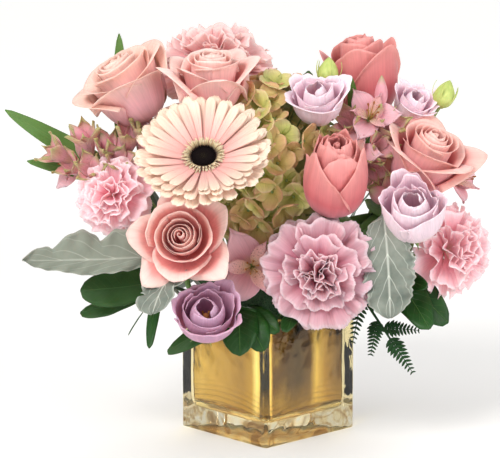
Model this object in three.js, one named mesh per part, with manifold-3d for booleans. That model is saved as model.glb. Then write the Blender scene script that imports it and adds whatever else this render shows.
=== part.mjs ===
// A floral table centerpiece: roses, carnations, a gerbera, a hydrangea head, lisianthus,
// alstroemeria and mixed leaves, standing in a block of wet foam in a square glass vase.
// Millimetres, +Z up. The origin is the middle of the vase's foot, and -Y is the display side.
import * as THREE from "three";
import { mergeVertices } from "three/addons/utils/BufferGeometryUtils.js";
import Module from "manifold-3d";

const wasm = await Module();
wasm.setup();

// ---------------------------------------------------------------- driving dimensions
const vase = { side: 100, height: 100, wall: 6, floor: 18, corner: 3, innerCorner: 7, turn: 43.2 };
const foam = { side: 84, top: 124, gap: 0.3 };
const fit = 0.35; // the gap that neighbouring pieces keep
const bladeThickness = 0.9;
const rosePetals = 8;
const lisianthusPetals = 5;
const tubeSides = 4;
const stemPivot = new THREE.Vector3(0, 0, 82); // every stem in the foam points away from this spot
const stemReach = 25; // how far from the pivot each stem ends
const stemSpread = 0.55; // flattens the fan of stems, so that upright ones enter further apart
const stemApart = 17; // the least angle between two stems, in degrees
const rimClearance = 7; // how far above the vase's rim the lowest stem passes

const colours = {
  glass: [0xd9b45c, 0.08, 0.6],
  foam: [0x3f6b3c, 0.95, 0],
  rose: [0xf2a09a, 0.6, 0],
  coral: [0xee8f82, 0.6, 0],
  carnation: [0xf3b3bd, 0.7, 0],
  gerbera: [0xfbe0c8, 0.6, 0],
  gerberaDisc: [0x1d1410, 0.9, 0],
  hydrangea: [0xc9c983, 0.7, 0],
  lisianthus: [0xdcb0d6, 0.6, 0],
  alstroemeria: [0xe2a3b4, 0.6, 0],
  silver: [0xb9c4b8, 0.85, 0],
  leaf: [0x2c5a26, 0.45, 0],
  fern: [0x1f4a22, 0.5, 0],
  stem: [0x4f7a35, 0.6, 0],
};

// Every rose: middle of the bloom, the way it faces, its radius and height, and how far it is open.
const roses = {
  rose_front: {
    at: [-66, -92, 171], facing: [-0.12, -0.92, 0.36], radius: 40, height: 40, open: 1,
    colour: "rose",
  },
  rose_bud: {
    at: [50, -82, 217], facing: [0.04, -0.45, 0.89], radius: 29, height: 66, open: 0,
    colour: "coral",
  },
  rose_top_left: {
    at: [-113, -30, 281], facing: [-0.42, -0.35, 0.84], radius: 41, height: 50, open: 0.55,
    colour: "rose",
  },
  rose_top_middle: {
    at: [-44, -44, 286], facing: [0, -0.3, 0.95], radius: 36, height: 46, open: 0.6, colour: "rose",
  },
  rose_top_right: {
    at: [78, 14, 286], facing: [0.1, -0.25, 0.95], radius: 37, height: 68, open: 0.3,
    colour: "coral",
  },
  rose_right: {
    at: [127, -42, 225], facing: [0.45, -0.55, 0.7], radius: 35, height: 50, open: 0.75,
    colour: "coral",
  },
  rose_back_left: {
    at: [-72, 76, 226], facing: [-0.45, 0.75, 0.48], radius: 36, height: 48, open: 0.7,
    colour: "rose",
  },
  rose_back_right: {
    at: [76, 80, 208], facing: [0.45, 0.8, 0.4], radius: 34, height: 48, open: 0.6, colour: "coral",
  },
};

// Every carnation: middle of the head, the way it faces and its radius.
const carnations = {
  carnation_top: { at: [-42, 28, 300], facing: [0.03, -0.2, 0.98], radius: 43 },
  carnation_left: { at: [-122, -56, 199], facing: [-0.4, -0.88, 0.15], radius: 32 },
  carnation_right: { at: [148, -36, 153], facing: [0.8, -0.55, 0.2], radius: 39 },
  carnation_front: { at: [38, -98, 144], facing: [-0.02, -0.99, 0.08], radius: 43 },
  carnation_back: { at: [0, 98, 168], facing: [0, 0.97, 0.2], radius: 38 },
};

const gerbera = { at: [-50, -98, 236], facing: [-0.08, -0.87, 0.48], radius: 53, disc: 11 };

const hydrangea = {
  at: [4, -24, 216], facing: [0, -0.7, 0.7], half: [50, 40, 66], florets: 52, floret: 16.5,
};

// Every lisianthus: as the roses, with any buds that share its stem.
const lisianthus = {
  lisianthus_front: {
    at: [-48, -98, 114], facing: [0, -0.85, 0.5], radius: 31, height: 36, open: 0.75, buds: [],
  },
  lisianthus_right: {
    at: [110, -80, 188], facing: [0.15, -0.93, 0.33], radius: 27, height: 36, open: 0.7, buds: [],
  },
  lisianthus_top: {
    at: [38, -42, 270], facing: [-0.1, -0.6, 0.79], radius: 23, height: 36, open: 0.4,
    buds: [{ from: [46, -18, 280], to: [48, -16, 303], radius: 6 }],
  },
  lisianthus_top_right: {
    at: [114, -10, 264], facing: [0.35, -0.6, 0.72], radius: 19, height: 30, open: 0.5,
    buds: [{ from: [136, -10, 262], to: [144, -8, 284], radius: 6 }],
  },
};

// Every alstroemeria spray: where its stalks fork, its flowers, its buds, and its leaves.
const alstroemerias = {
  alstroemeria_left: {
    fork: [-112, -2, 206],
    flowers: [
      { at: [-157, -17, 221], facing: [-0.75, -0.55, 0.3], radius: 24 },
      { at: [-87, -52, 238], facing: [-0.2, -0.8, 0.55], radius: 20 },
    ],
    buds: [
      { from: [-140, -28, 232], to: [-160, -36, 256], radius: 9 },
      { from: [-123, -30, 228], to: [-133, -42, 250], radius: 7 },
    ],
    leaves: [
      { tip: [-207, -26, 262], side: [0.3, 0.35, 0.9], width: 17, bow: 6 },
      { tip: [-190, -28, 222], side: [0.3, 0.35, 0.9], width: 13, bow: 4 },
    ],
  },
  alstroemeria_top: {
    fork: [72, -8, 228],
    flowers: [
      { at: [80, -44, 262], facing: [0.1, -0.85, 0.5], radius: 22 },
      { at: [66, -50, 232], facing: [-0.35, -0.8, 0.5], radius: 20 },
    ],
    buds: [{ from: [88, -30, 264], to: [88, -36, 290], radius: 5 }],
    leaves: [{ tip: [64, -34, 290], side: [0.9, 0.1, -0.3], width: 11, bow: 3 }],
  },
  alstroemeria_middle: {
    fork: [-6, -46, 136],
    flowers: [{ at: [-13, -72, 145], facing: [0, -0.98, 0.15], radius: 30 }],
    buds: [],
    leaves: [],
  },
  alstroemeria_right: {
    fork: [108, -12, 176],
    flowers: [{ at: [156, -8, 207], facing: [0.75, -0.5, 0.45], radius: 21 }],
    buds: [{ from: [92, -42, 194], to: [78, -62, 204], radius: 7 }],
    leaves: [],
  },
};

// Silver lobed leaves: where each starts and ends, the way its width runs, and its size.
const silverLeaves = {
  silver_leaf_left: {
    base: [-86, -72, 152], tip: [-186, -100, 154], side: [0.1, 0.35, 0.93], width: 48, bow: 7,
    lobes: 4,
  },
  silver_leaf_front: {
    base: [-74, -70, 138], tip: [-95, -108, 114], side: [0.85, -0.3, 0.3], width: 30, bow: 6,
    lobes: 3,
  },
  silver_leaf_right: {
    base: [94, -73, 168], tip: [93, -85, 110], side: [0.95, 0.1, 0.1], width: 32, bow: 6, lobes: 5,
  },
  silver_leaf_back: {
    base: [-50, 60, 140], tip: [-120, 104, 132], side: [0.3, 0.2, 0.93], width: 46, bow: 6,
    lobes: 4,
  },
};

// Leafy stems: the stem's end, and each leaf as tip, width direction, width and bow.
const greens = {
  greens_left: {
    end: [-92, -46, 128],
    leaves: [
      { tip: [-146, -66, 126], side: [0.1, 0.4, 0.9], width: 32, bow: 5 },
      { tip: [-148, -48, 104], side: [0.3, 0.5, 0.8], width: 22, bow: 4 },
      { tip: [-92, -86, 84], side: [0.95, -0.2, 0.2], width: 10, bow: 3 },
      { tip: [-108, -84, 94], side: [0.6, 0.2, 0.75], width: 7, bow: 2 },
    ],
  },
  greens_front: {
    end: [-24, -64, 112],
    leaves: [
      { tip: [-22, -96, 80], side: [0.97, 0.1, 0.1], width: 30, bow: 5 },
      { tip: [-4, -86, 82], side: [0.85, 0.2, 0.3], width: 26, bow: 5 },
      { tip: [-78, -84, 82], side: [0.35, 0.4, 0.85], width: 26, bow: 4 },
      { tip: [8, -80, 96], side: [0.5, 0.5, 0.7], width: 20, bow: 3 },
    ],
  },
  greens_middle: {
    end: [28, -58, 116],
    leaves: [
      { tip: [14, -92, 98], side: [0.9, 0.1, 0.3], width: 20, bow: 3 },
      { tip: [54, -82, 102], side: [0.6, 0.5, 0.6], width: 22, bow: 4 },
    ],
  },
  greens_right: {
    end: [100, -26, 134],
    leaves: [
      { tip: [142, -46, 96], side: [0.45, 0.3, 0.83], width: 30, bow: 5 },
      { tip: [124, -80, 98], side: [0.85, 0.35, 0.3], width: 30, bow: 5 },
      { tip: [122, -80, 130], side: [0.6, 0.3, 0.7], width: 18, bow: 4 },
    ],
  },
  greens_back_right: {
    end: [62, 66, 136],
    leaves: [
      { tip: [116, 92, 118], side: [0.2, -0.35, 0.9], width: 32, bow: 5 },
      { tip: [76, 118, 104], side: [0.85, -0.4, 0.3], width: 32, bow: 5 },
      { tip: [128, 60, 152], side: [0, -0.5, 0.85], width: 28, bow: 5 },
      { tip: [32, 108, 96], side: [0.97, 0.1, 0.2], width: 28, bow: 5 },
    ],
  },
  greens_back_left: {
    end: [-66, 34, 140],
    leaves: [
      { tip: [-122, 42, 122], side: [0.1, 0.5, 0.86], width: 32, bow: 5 },
      { tip: [-134, 20, 150], side: [0.1, 0.4, 0.9], width: 28, bow: 5 },
      { tip: [-84, 70, 96], side: [0.8, 0.5, 0.3], width: 30, bow: 5 },
    ],
  },
  greens_top: {
    end: [20, 44, 226],
    leaves: [
      { tip: [34, 62, 286], side: [0.9, -0.3, 0.1], width: 20, bow: 5 },
      { tip: [-6, 84, 262], side: [0.9, 0.3, 0.2], width: 20, bow: 5 },
      { tip: [62, 66, 256], side: [0.5, 0.6, 0.5], width: 20, bow: 5 },
    ],
  },
};

// Fern fronds: where the stalk turns outward, its tip, the way its side fronds lie, and their length.
const ferns = {
  fern_right: { end: [72, -52, 120], tip: [112, -76, 62], side: [0.75, 0.2, 0.6], reach: 38, pairs: 2 },
  fern_back: { end: [-30, 66, 124], tip: [-66, 118, 78], side: [0.75, 0.5, 0.4], reach: 40, pairs: 1 },
};

// ---------------------------------------------------------------- small geometry helpers
const vector = (a) => new THREE.Vector3(...a);
const radians = THREE.MathUtils.degToRad;

// A closed mesh as a solid.
function solidOf(geometry) {
  const plain = geometry.clone();
  plain.deleteAttribute("normal");
  plain.deleteAttribute("uv");
  const merged = mergeVertices(plain, 1e-4);
  const corners = Array.from(merged.index.array);
  const whole = (k) => {
    const [a, b, c] = corners.slice(3 * k, 3 * k + 3);
    return a !== b && b !== c && c !== a;
  };
  const triVerts = new Uint32Array(corners.filter((_, k) => whole(Math.floor(k / 3))));
  const vertProperties = merged.attributes.position.array;
  const made = new wasm.Manifold(new wasm.Mesh({ numProp: 3, vertProperties, triVerts }));
  if (made.volume() >= 0) return made;
  for (let i = 0; i < triVerts.length; i += 3) {
    [triVerts[i + 1], triVerts[i + 2]] = [triVerts[i + 2], triVerts[i + 1]];
  }
  return new wasm.Manifold(new wasm.Mesh({ numProp: 3, vertProperties, triVerts }));
}

function geometryOf(solid) {
  const mesh = solid.getMesh();
  const geometry = new THREE.BufferGeometry();
  geometry.setAttribute("position", new THREE.BufferAttribute(new Float32Array(mesh.vertProperties), 3));
  geometry.setIndex(new THREE.BufferAttribute(new Uint32Array(mesh.triVerts), 1));
  geometry.computeVertexNormals();
  return geometry;
}

function indexed(positions, index) {
  const geometry = new THREE.BufferGeometry();
  geometry.setAttribute("position", new THREE.Float32BufferAttribute(positions, 3));
  geometry.setIndex(index);
  return geometry;
}

const joined = (solids) => wasm.Manifold.union(solids);

// The main body of a union, without any loose crumb or sealed void that the joining leaves.
function mainBody(solids) {
  const bodies = joined(solids).decompose();
  bodies.sort((a, b) => b.volume() - a.volume());
  return bodies[0];
}

// The frame of a bloom: z is the way it faces, x runs to its right and y to its top.
function frameOf(at, facing) {
  const z = vector(facing).normalize();
  const x = new THREE.Vector3(0, 0, 1).cross(z).normalize();
  const y = z.clone().cross(x);
  return new THREE.Matrix4().makeBasis(x, y, z).setPosition(vector(at));
}

const placed = (geometry, frame) => solidOf(geometry.applyMatrix4(frame));

// A thin closed blade over surface(u, v): u runs from root to tip, v from -1 to 1 across.
// Both faces are split into the same triangles, so they never cross. "ends" says whether the
// blade runs to a point at its root and at its tip.
function blade(surface, rows, columns, ends = { root: true, tip: false }) {
  const thickness = bladeThickness;
  const positions = [];
  const step = 1e-3;
  const toPoint = (u) => (ends.root && u === rows[0]) || (ends.tip && u === rows.at(-1));
  for (const sign of [1, -1])
    for (const u of rows)
      for (const column of columns) {
        const v = toPoint(u) ? 0 : column;
        const point = surface(u, v);
        const along = surface(u + step, v).sub(surface(u - step, v));
        const across = surface(u, v + step).sub(surface(u, v - step));
        const normal = along.cross(across).normalize();
        point.addScaledVector(normal, (sign * thickness) / 2);
        positions.push(point.x, point.y, point.z);
      }
  const wide = columns.length;
  const face = rows.length * wide;
  const index = [];
  for (let i = 0; i + 1 < rows.length; i++)
    for (let j = 0; j + 1 < wide; j++) {
      const a = i * wide + j;
      const [b, c, d] = [a + 1, a + wide + 1, a + wide];
      index.push(a, d, b, b, d, c);
      index.push(face + a, face + b, face + d, face + b, face + c, face + d);
    }
  const rim = [];
  for (let j = 0; j < wide; j++) rim.push(j);
  for (let i = 1; i < rows.length; i++) rim.push(i * wide + wide - 1);
  for (let j = wide - 2; j >= 0; j--) rim.push((rows.length - 1) * wide + j);
  for (let i = rows.length - 2; i > 0; i--) rim.push(i * wide);
  rim.forEach((a, k) => {
    const b = rim[(k + 1) % rim.length];
    index.push(a, b, face + a, b, face + b, face + a);
  });
  return indexed(positions, index);
}

// A ring of petals in one piece, like a cut and folded disc round z. petal(i) gives the rim of
// one petal from its left notch on, as [share of the petal's sector from -0.5, radius, height].
// A petal of four points that dips in its middle is split about the dip.
function whorl(count, petal, apex = 0, thickness = bladeThickness) {
  const rim = [];
  const notches = [];
  for (let i = 0; i < count; i++) {
    notches.push(rim.length);
    for (const [share, r, z] of petal(i)) {
      const angle = (2 * Math.PI * (i + share)) / count;
      const slant = Math.hypot(r, z - apex);
      rim.push({ angle, r, z, slant, sine: r / slant, cosine: (z - apex) / slant });
    }
  }
  const positions = [];
  for (const { angle, r, z } of rim) positions.push(r * Math.cos(angle), r * Math.sin(angle), z);
  for (const { angle, r, z, sine, cosine } of rim) {
    const away = r + thickness * cosine;
    positions.push(away * Math.cos(angle), away * Math.sin(angle), z - thickness * sine);
  }
  const sine = rim.reduce((sum, point) => sum + point.sine, 0) / rim.length;
  positions.push(0, 0, apex, 0, 0, apex - thickness / sine);
  const size = rim.length;
  const index = [];
  const bothFaces = (a, b, c) => {
    const under = (i) => (i === 2 * size ? i + 1 : i + size);
    index.push(a, b, c, under(a), under(c), under(b));
  };
  notches.forEach((first, i) => {
    const last = i + 1 < count ? notches[i + 1] : size;
    const strip = Array.from({ length: last - first + 1 }, (_, k) => (first + k) % size);
    bothFaces(2 * size, strip[0], strip.at(-1));
    if (strip.length === 5 && rim[strip[2]].slant < rim[strip[1]].slant) {
      bothFaces(strip[0], strip[1], strip[2]);
      bothFaces(strip[0], strip[2], strip[4]);
      bothFaces(strip[2], strip[3], strip[4]);
      return;
    }
    while (strip.length > 2) {
      bothFaces(strip[0], strip[1], strip.at(-1));
      strip.shift();
      if (strip.length < 3) break;
      bothFaces(strip[0], strip.at(-2), strip.at(-1));
      strip.pop();
    }
  });
  for (let a = 0; a < size; a++) {
    const b = (a + 1) % size;
    index.push(a, a + size, b, b, a + size, b + size);
  }
  return indexed(positions, index);
}

// A turned body about z from [radius, height] pairs.
function turned(profile, sides) {
  const points = profile.map(([r, z]) => new THREE.Vector2(r, z));
  return new THREE.LatheGeometry(points, sides).rotateX(Math.PI / 2);
}

// A line through knots, with one step of a tube between each two.
class KnottedLine extends THREE.Curve {
  constructor(knots) {
    super();
    this.knots = knots;
  }
  getPoint(t, target = new THREE.Vector3()) {
    const last = this.knots.length - 1;
    const i = Math.min(Math.floor(t * last + 1e-9), last - 1);
    return target.copy(this.knots[i]).lerp(this.knots[i + 1], t * last - i);
  }
  getPointAt(t, target) {
    return this.getPoint(t, target);
  }
  getTangentAt(t, target = new THREE.Vector3()) {
    const step = 0.25 / (this.knots.length - 1);
    const ahead = this.getPoint(Math.min(1, t + step));
    return target.copy(ahead).sub(this.getPoint(Math.max(0, t - step))).normalize();
  }
}

// A tube with closed ends through knots.
function tube(knots, radius) {
  const section = new THREE.Shape();
  for (let i = 0; i < tubeSides; i++) {
    const angle = (2 * Math.PI * i) / tubeSides;
    section[i ? "lineTo" : "moveTo"](radius * Math.cos(angle), radius * Math.sin(angle));
  }
  const options = { steps: knots.length - 1, bevelEnabled: false, extrudePath: new KnottedLine(knots) };
  return solidOf(new THREE.ExtrudeGeometry(section, options));
}

// ---------------------------------------------------------------- stems and the holes they stand in
// Everything that stands in the foam: its neck, the way the neck points, and what else it carries.
const plants = [];

function plant(name, colour, neck, facing, radius, extras) {
  const way = neck.clone().sub(stemPivot);
  way.z *= stemSpread;
  plants.push({ name, colour, neck, facing, radius, extras, way: way.normalize() });
}

// How far a direction leads toward the nearest wall of the vase, against its length.
function lateral(way) {
  const turn = radians(vase.turn);
  const x = Math.abs(way.x * Math.cos(turn) + way.y * Math.sin(turn));
  const y = Math.abs(way.y * Math.cos(turn) - way.x * Math.sin(turn));
  return Math.max(x, y);
}

// Raises a direction until it clears the vase's rim.
function clearRim(way) {
  const least = ((vase.height + rimClearance - stemPivot.z) / (vase.side / 2)) * lateral(way);
  way.z = Math.max(way.z, least);
  way.normalize();
}

// Turns the stems' directions away from each other until no two of them lie closer than stemApart.
function spreadStems() {
  for (const { way } of plants) clearRim(way);
  for (let round = 0; round < 400; round++)
    for (let i = 0; i < plants.length; i++)
      for (let j = 0; j < i; j++) {
        const [a, b] = [plants[i].way, plants[j].way];
        const lack = radians(stemApart) - a.angleTo(b);
        if (lack <= 0) continue;
        const push = a.clone().sub(b).normalize().multiplyScalar(lack * 0.3);
        a.add(push).normalize();
        b.sub(push).normalize();
        clearRim(a);
        clearRim(b);
      }
}

function growStems() {
  const holes = [];
  for (const { name, colour, neck, facing, radius, extras, way } of plants) {
    const foot = stemPivot.clone().addScaledVector(way, stemReach);
    const beyond = Math.min((foam.top + 4 - stemPivot.z) / way.z, (vase.side / 2 + 5) / lateral(way));
    const exit = stemPivot.clone().addScaledVector(way, beyond);
    const knots = [foot, exit];
    if (facing) {
      const pull = 0.35 * neck.distanceTo(exit);
      const bend = neck.clone().addScaledVector(facing, -pull);
      const curve = new THREE.CubicBezierCurve3(exit, exit.clone().addScaledVector(way, pull), bend, neck);
      knots.push(curve.getPoint(0.5), neck.clone().addScaledVector(facing, -8));
    }
    knots.push(neck);
    addPiece(name, mainBody([tube(knots, radius), ...extras(knots)]), colour);
    const wider = radius + fit / Math.cos(Math.PI / tubeSides);
    const end = foot.clone().addScaledVector(way, -fit);
    holes.push(tube([end, exit.clone().addScaledVector(way, 8)], wider));
  }
  return joined(holes);
}

// ---------------------------------------------------------------- roses and lisianthus
// Petal outlines as four control points, in shares of the bloom's radius and height: the heart's
// petal, and the outermost petal of a closed, a half open and a wide open bloom.
const heartCup = [[0.06, 0.24], [0.3, 0.4], [0.26, 0.8], [0.05, 1]];
const outerCups = [
  [[0.14, 0.05], [1.25, 0.06], [1.12, 0.6], [0.55, 0.94]],
  [[0.12, 0.05], [1.05, 0.02], [0.62, 0.8], [1.04, 0.84]],
  [[0.1, 0.05], [0.9, 0.0], [0.85, 0.62], [1.08, 0.4]],
];

const mix = (a, b, share) => a.map((value, i) => value + (b[i] - value) * share);

function cupCurve(open, t, { radius, height }) {
  const stage = Math.min(1, Math.floor(open * 2));
  const outer = outerCups[stage].map((point, i) => mix(point, outerCups[stage + 1][i], open * 2 - stage));
  const points = heartCup.map((point, i) => mix(point, outer[i], t));
  const [a, b, c, d] = points.map(([r, z]) => new THREE.Vector2(r * radius, z * height));
  return new THREE.CubicBezierCurve(a, b, c, d);
}

// Nested petals: each lies on its own surface of revolution outside the one before, so none cross.
function cupOfPetals(bloom, { petals, turn, wave }) {
  const made = [];
  for (let i = 0; i < petals; i++) {
    const t = i / (petals - 1);
    const curve = cupCurve(bloom.open, t, bloom);
    const half = radians(THREE.MathUtils.lerp(100, 62, t));
    const middle = radians(turn * i);
    const surface = (u, v) => {
      const drop = 0.14 * v * v * u;
      const { x: r, y: z } = curve.getPoint(THREE.MathUtils.clamp(u * (1 - drop), 0, 1));
      const angle = middle + half * v * Math.min(1, 0.55 + 0.7 * u);
      const away = r * (1 + wave * Math.sin(5 * v + i) * u * u);
      return new THREE.Vector3(away * Math.cos(angle), away * Math.sin(angle), z);
    };
    const rows = t < 0.4 ? [0, 0.5, 0.998] : [0, 0.38, 0.75, 0.998];
    made.push(blade(surface, rows, [-1, -0.37, 0.37, 1]));
  }
  return made;
}

function bloomFrame({ at, facing, height }) {
  const out = vector(facing).normalize();
  return frameOf(vector(at).addScaledVector(out, -height / 2).toArray(), facing);
}

// The whorl of green sepals that curls back round the top of a stem.
function sepals(frame, notch, reach) {
  const sepal = () => [[-0.5, notch, -4], [0, reach, -3 - reach * 0.4]];
  return [placed(whorl(5, sepal, -2), frame)];
}

const neckOf = (frame, depth) => new THREE.Vector3(0, 0, -depth).applyMatrix4(frame);

function addRose(name, rose) {
  const frame = bloomFrame(rose);
  const core = [[0, 0], [11, 0], [0, rose.height * 0.6]];
  const petals = cupOfPetals(rose, { petals: rosePetals, turn: 137.5, wave: 0 });
  const solids = [turned(core, 4), ...petals].map((geometry) => placed(geometry, frame));
  addPiece(name, mainBody(solids), rose.colour);
  const out = vector(rose.facing).normalize();
  plant(`${name}_stem`, "stem", neckOf(frame, fit), out, 2.4, () => sepals(frame, 7, 22));
}

function addLisianthus(name, bloom) {
  const frame = bloomFrame(bloom);
  const core = [[0, 0], [8, 0], [0, bloom.height * 0.6]];
  const petals = cupOfPetals(bloom, { petals: lisianthusPetals, turn: 144, wave: 0.04 });
  const solids = [turned(core, 4), ...petals].map((geometry) => placed(geometry, frame));
  addPiece(name, mainBody(solids), "lisianthus");
  const extras = (knots) => {
    const buds = bloom.buds.flatMap((bud) => stalkedBud(knots.at(-3), bud));
    return [...sepals(frame, 4, 13), ...buds];
  };
  plant(`${name}_stem`, "stem", neckOf(frame, fit), vector(bloom.facing).normalize(), 1.7, extras);
}

// A closed bud on a stalk of its own, from its seat to its point.
function stalkedBud(fork, { from, to, radius }) {
  const seat = vector(from);
  const way = vector(to).sub(seat);
  const length = way.length();
  const profile = [[0, 0], [radius, length * 0.42], [0, length]];
  const bud = placed(turned(profile, 5), frameOf(from, way.toArray()));
  return [bud, tube([fork, seat.addScaledVector(way.normalize(), length * 0.2)], 1.3)];
}

// ---------------------------------------------------------------- carnations
function addCarnation(name, { at, facing, radius }) {
  const depth = 24;
  const out = vector(facing).normalize();
  const frame = frameOf(vector(at).addScaledVector(out, -radius * 0.35).toArray(), facing);
  const solids = [placed(turned([[0, 0], [6, 0], [0, 22]], 4), frame)];
  const layers = [
    { lean: 13, petals: 3, share: 0.9, apex: 9 },
    { lean: 31, petals: 4, share: 0.96, apex: 6.5 },
    { lean: 51, petals: 4, share: 1, apex: 4.5 },
    { lean: 71, petals: 5, share: 1.02, apex: 3 },
    { lean: 91, petals: 5, share: 1, apex: 2 },
  ];
  layers.forEach(({ lean, petals, share, apex }, layer) => {
    const frill = (angleShare, reachShare, fold) => {
      const angle = radians(lean + fold);
      const reach = radius * share * reachShare;
      return [angleShare, reach * Math.sin(angle), apex + reach * Math.cos(angle)];
    };
    const crest = 2.5 + lean / 45;
    const petal = (i) => {
      const sway = 3 * Math.sin(2.4 * i + 1.7 * layer);
      const middle = frill(0, 0.95, sway - crest);
      return [frill(-0.5, 0.82, -sway), frill(-0.25, 1, crest), middle, frill(0.25, 1, crest)];
    };
    solids.push(placed(whorl(petals, petal, apex).rotateZ(layer * 0.9), frame));
  });
  addPiece(name, mainBody(solids), "carnation");
  const cup = [[0, -depth], [3, -depth], [5.5, -depth * 0.5], [6, -fit], [0, -fit]];
  plant(`${name}_stem`, "stem", neckOf(frame, depth - 2), out, 2, () => [placed(turned(cup, 5), frame)]);
}

// ---------------------------------------------------------------- gerbera
function addGerbera({ at, facing, radius, disc }) {
  const frame = frameOf(at, facing);
  const core = [[0, -5], [disc * 0.8, -5], [disc + 1, 0], [disc + 0.5, 5], [0, 5]];
  const solids = [placed(turned(core, 6), frame)];
  const rings = [
    { count: 18, length: radius, lift: 10, tip: 0.36 },
    { count: 16, length: radius * 0.94, lift: 21, tip: 0.36 },
  ];
  const foot = -2;
  rings.forEach(({ count, length, lift, tip }, ring) => {
    const point = (share, part) => {
      const reach = length * part;
      return [share, reach * Math.cos(radians(lift)), foot + reach * Math.sin(radians(lift))];
    };
    const petal = (i) => {
      const longest = 1 - 0.05 * ((i * 7) % 3);
      const shoulder = 0.84 * longest;
      return [point(-0.5, 0.27), point(-tip, shoulder), point(0, longest), point(tip, shoulder)];
    };
    solids.push(placed(whorl(count, petal, foot).rotateZ(0.16 * ring), frame));
  });
  const fringe = (i) => [[-0.5, disc * 1.15, 5], [0, disc * 1.75 - (i % 2), 10]];
  solids.push(placed(whorl(12, fringe, foot - 2), frame));
  addPiece("gerbera", mainBody(solids), "gerbera");
  const top = 5 + fit;
  const [rim, button] = [disc * 0.85, disc * 0.4];
  const dome = [[0, top], [rim - 0.5, top], [rim, top + 2.5], [button, top + 3], [0, top + 2.2]];
  addPiece("gerbera_disc", placed(turned(dome, 10), frame), "gerberaDisc");
  const cup = [[0, -14], [4, -14], [disc * 0.8, -8], [disc * 0.75, -5 - fit], [0, -5 - fit]];
  const out = vector(facing).normalize();
  plant("gerbera_stem", "stem", neckOf(frame, 12), out, 2.6, () => [placed(turned(cup, 7), frame)]);
}

// ---------------------------------------------------------------- hydrangea
// One floret: four petals round z, cupped, over a thin stalk that runs down into the head's core.
function floret(radius, stalk) {
  const rim = [];
  for (let petal = 0; petal < 4; petal++)
    for (const [turn, reach, lift] of [[-27, 1, 0.24], [27, 1, 0.24], [45, 0.4, 0.04]]) {
      const angle = radians(90 * petal + turn);
      rim.push([radius * reach * Math.cos(angle), radius * reach * Math.sin(angle), radius * lift]);
    }
  const size = rim.length;
  const thick = 1.9;
  const side = (turn) => [thick * Math.cos(radians(turn)), thick * Math.sin(radians(turn)), -3];
  const neck = [30, 150, 270].map(side);
  const positions = [...rim.flat(), 0, 0, 0, ...neck.flat(), 0, 0, -stalk];
  const index = [];
  rim.forEach((_, i) => {
    const next = (i + 1) % size;
    const under = size + 1 + Math.floor(i / 4);
    index.push(i, next, size, next, i, under);
    if (i % 4 === 3) index.push(next, under, size + 1 + ((Math.floor(i / 4) + 1) % 3));
  });
  for (let k = 0; k < 3; k++) index.push(size + 1 + ((k + 1) % 3), size + 1 + k, size + 4);
  return indexed(positions, index);
}

// Florets cover the head evenly, apart from its underside and where one would cut another piece.
function addHydrangea() {
  const { at, facing, half, florets, floret: size } = hydrangea;
  const middle = vector(at);
  const out = vector(facing).normalize();
  const coreShare = 0.6;
  const ball = new THREE.IcosahedronGeometry(1, 1).scale(...half.map((h) => h * coreShare)).translate(...at);
  const golden = Math.PI * (3 - Math.sqrt(5));
  const stalk = Math.min(...half) * (1 - coreShare) + 8;
  const clear = (solid) => pieces.every((piece) => piece.intersect(solid).isEmpty());
  const grown = () => {
    const solids = [solidOf(ball)];
    for (let i = 0; i < florets; i++) {
      const height = 1 - (2 * (i + 0.5)) / florets;
      const flat = Math.sqrt(1 - height * height);
      const way = new THREE.Vector3(flat * Math.cos(golden * i), flat * Math.sin(golden * i), height);
      const place = new THREE.Vector3(...half.map((h, k) => h * way.getComponent(k))).add(middle);
      const normal = new THREE.Vector3(...half.map((h, k) => way.getComponent(k) / h)).normalize();
      if (normal.dot(out) < -0.5) continue;
      place.addScaledVector(normal, ((i % 3) - 1) * 2.5);
      const frame = frameOf(place.toArray(), normal.toArray());
      if (clear(placed(floret(size + fit, stalk), frame))) solids.push(placed(floret(size, stalk), frame));
    }
    return solids;
  };
  const neck = middle.clone().addScaledVector(out, -half[2] * coreShare);
  plant("hydrangea", "hydrangea", neck, out, 3, grown);
}

// ---------------------------------------------------------------- alstroemeria
// A flower flaring from a short tube: three broad petals round three narrow ones.
function trumpet({ at, facing, radius }) {
  const frame = frameOf(at, facing);
  const base = -radius * 0.72;
  const spoke = (share, reach, lean) => {
    const angle = radians(lean);
    return [share, radius * reach * Math.sin(angle), base + radius * reach * Math.cos(angle)];
  };
  const broad = () => [spoke(-0.5, 0.34, 44), spoke(-0.36, 1, 52), spoke(0, 1.3, 66), spoke(0.36, 1, 52)];
  const narrow = () => [spoke(-0.5, 0.3, 20), spoke(-0.13, 1.12, 34), spoke(0.13, 1.12, 34)];
  const solids = [
    placed(whorl(3, broad, base), frame),
    placed(whorl(3, narrow, base + 3).rotateZ(Math.PI / 3), frame),
  ];
  return { solids, neck: neckOf(frame, -4 - base) };
}

function addAlstroemeria(name, { fork, flowers, buds, leaves }) {
  const middle = vector(fork);
  const knuckle = new THREE.OctahedronGeometry(5).translate(...fork);
  const solids = [solidOf(knuckle)];
  const stalk = (end) => solids.push(tube([middle, end], 1.3));
  for (const flower of flowers) {
    const made = trumpet(flower);
    solids.push(...made.solids);
    stalk(made.neck);
  }
  for (const bud of buds) solids.push(...stalkedBud(middle, bud));
  for (const leaf of leaves) solids.push(plainLeaf(middle, leaf));
  plant(name, "alstroemeria", middle, middle.clone().sub(stemPivot).normalize(), 1.9, () => solids);
}

// ---------------------------------------------------------------- leaves
const bothPointed = { root: true, tip: true };

// A leaf from base to tip: "half" gives its half width along the length, and "bow" arches it.
function leafSurface(base, tip, side, half, bow, fold) {
  const across = vector(side).normalize();
  const along = tip.clone().sub(base);
  const up = along.clone().normalize().cross(across).normalize();
  return (u, v) =>
    base
      .clone()
      .addScaledVector(along, u)
      .addScaledVector(across, half(u) * v)
      .addScaledVector(up, bow * Math.sin(Math.PI * u) + fold * half(u) * Math.abs(v));
}

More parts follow.
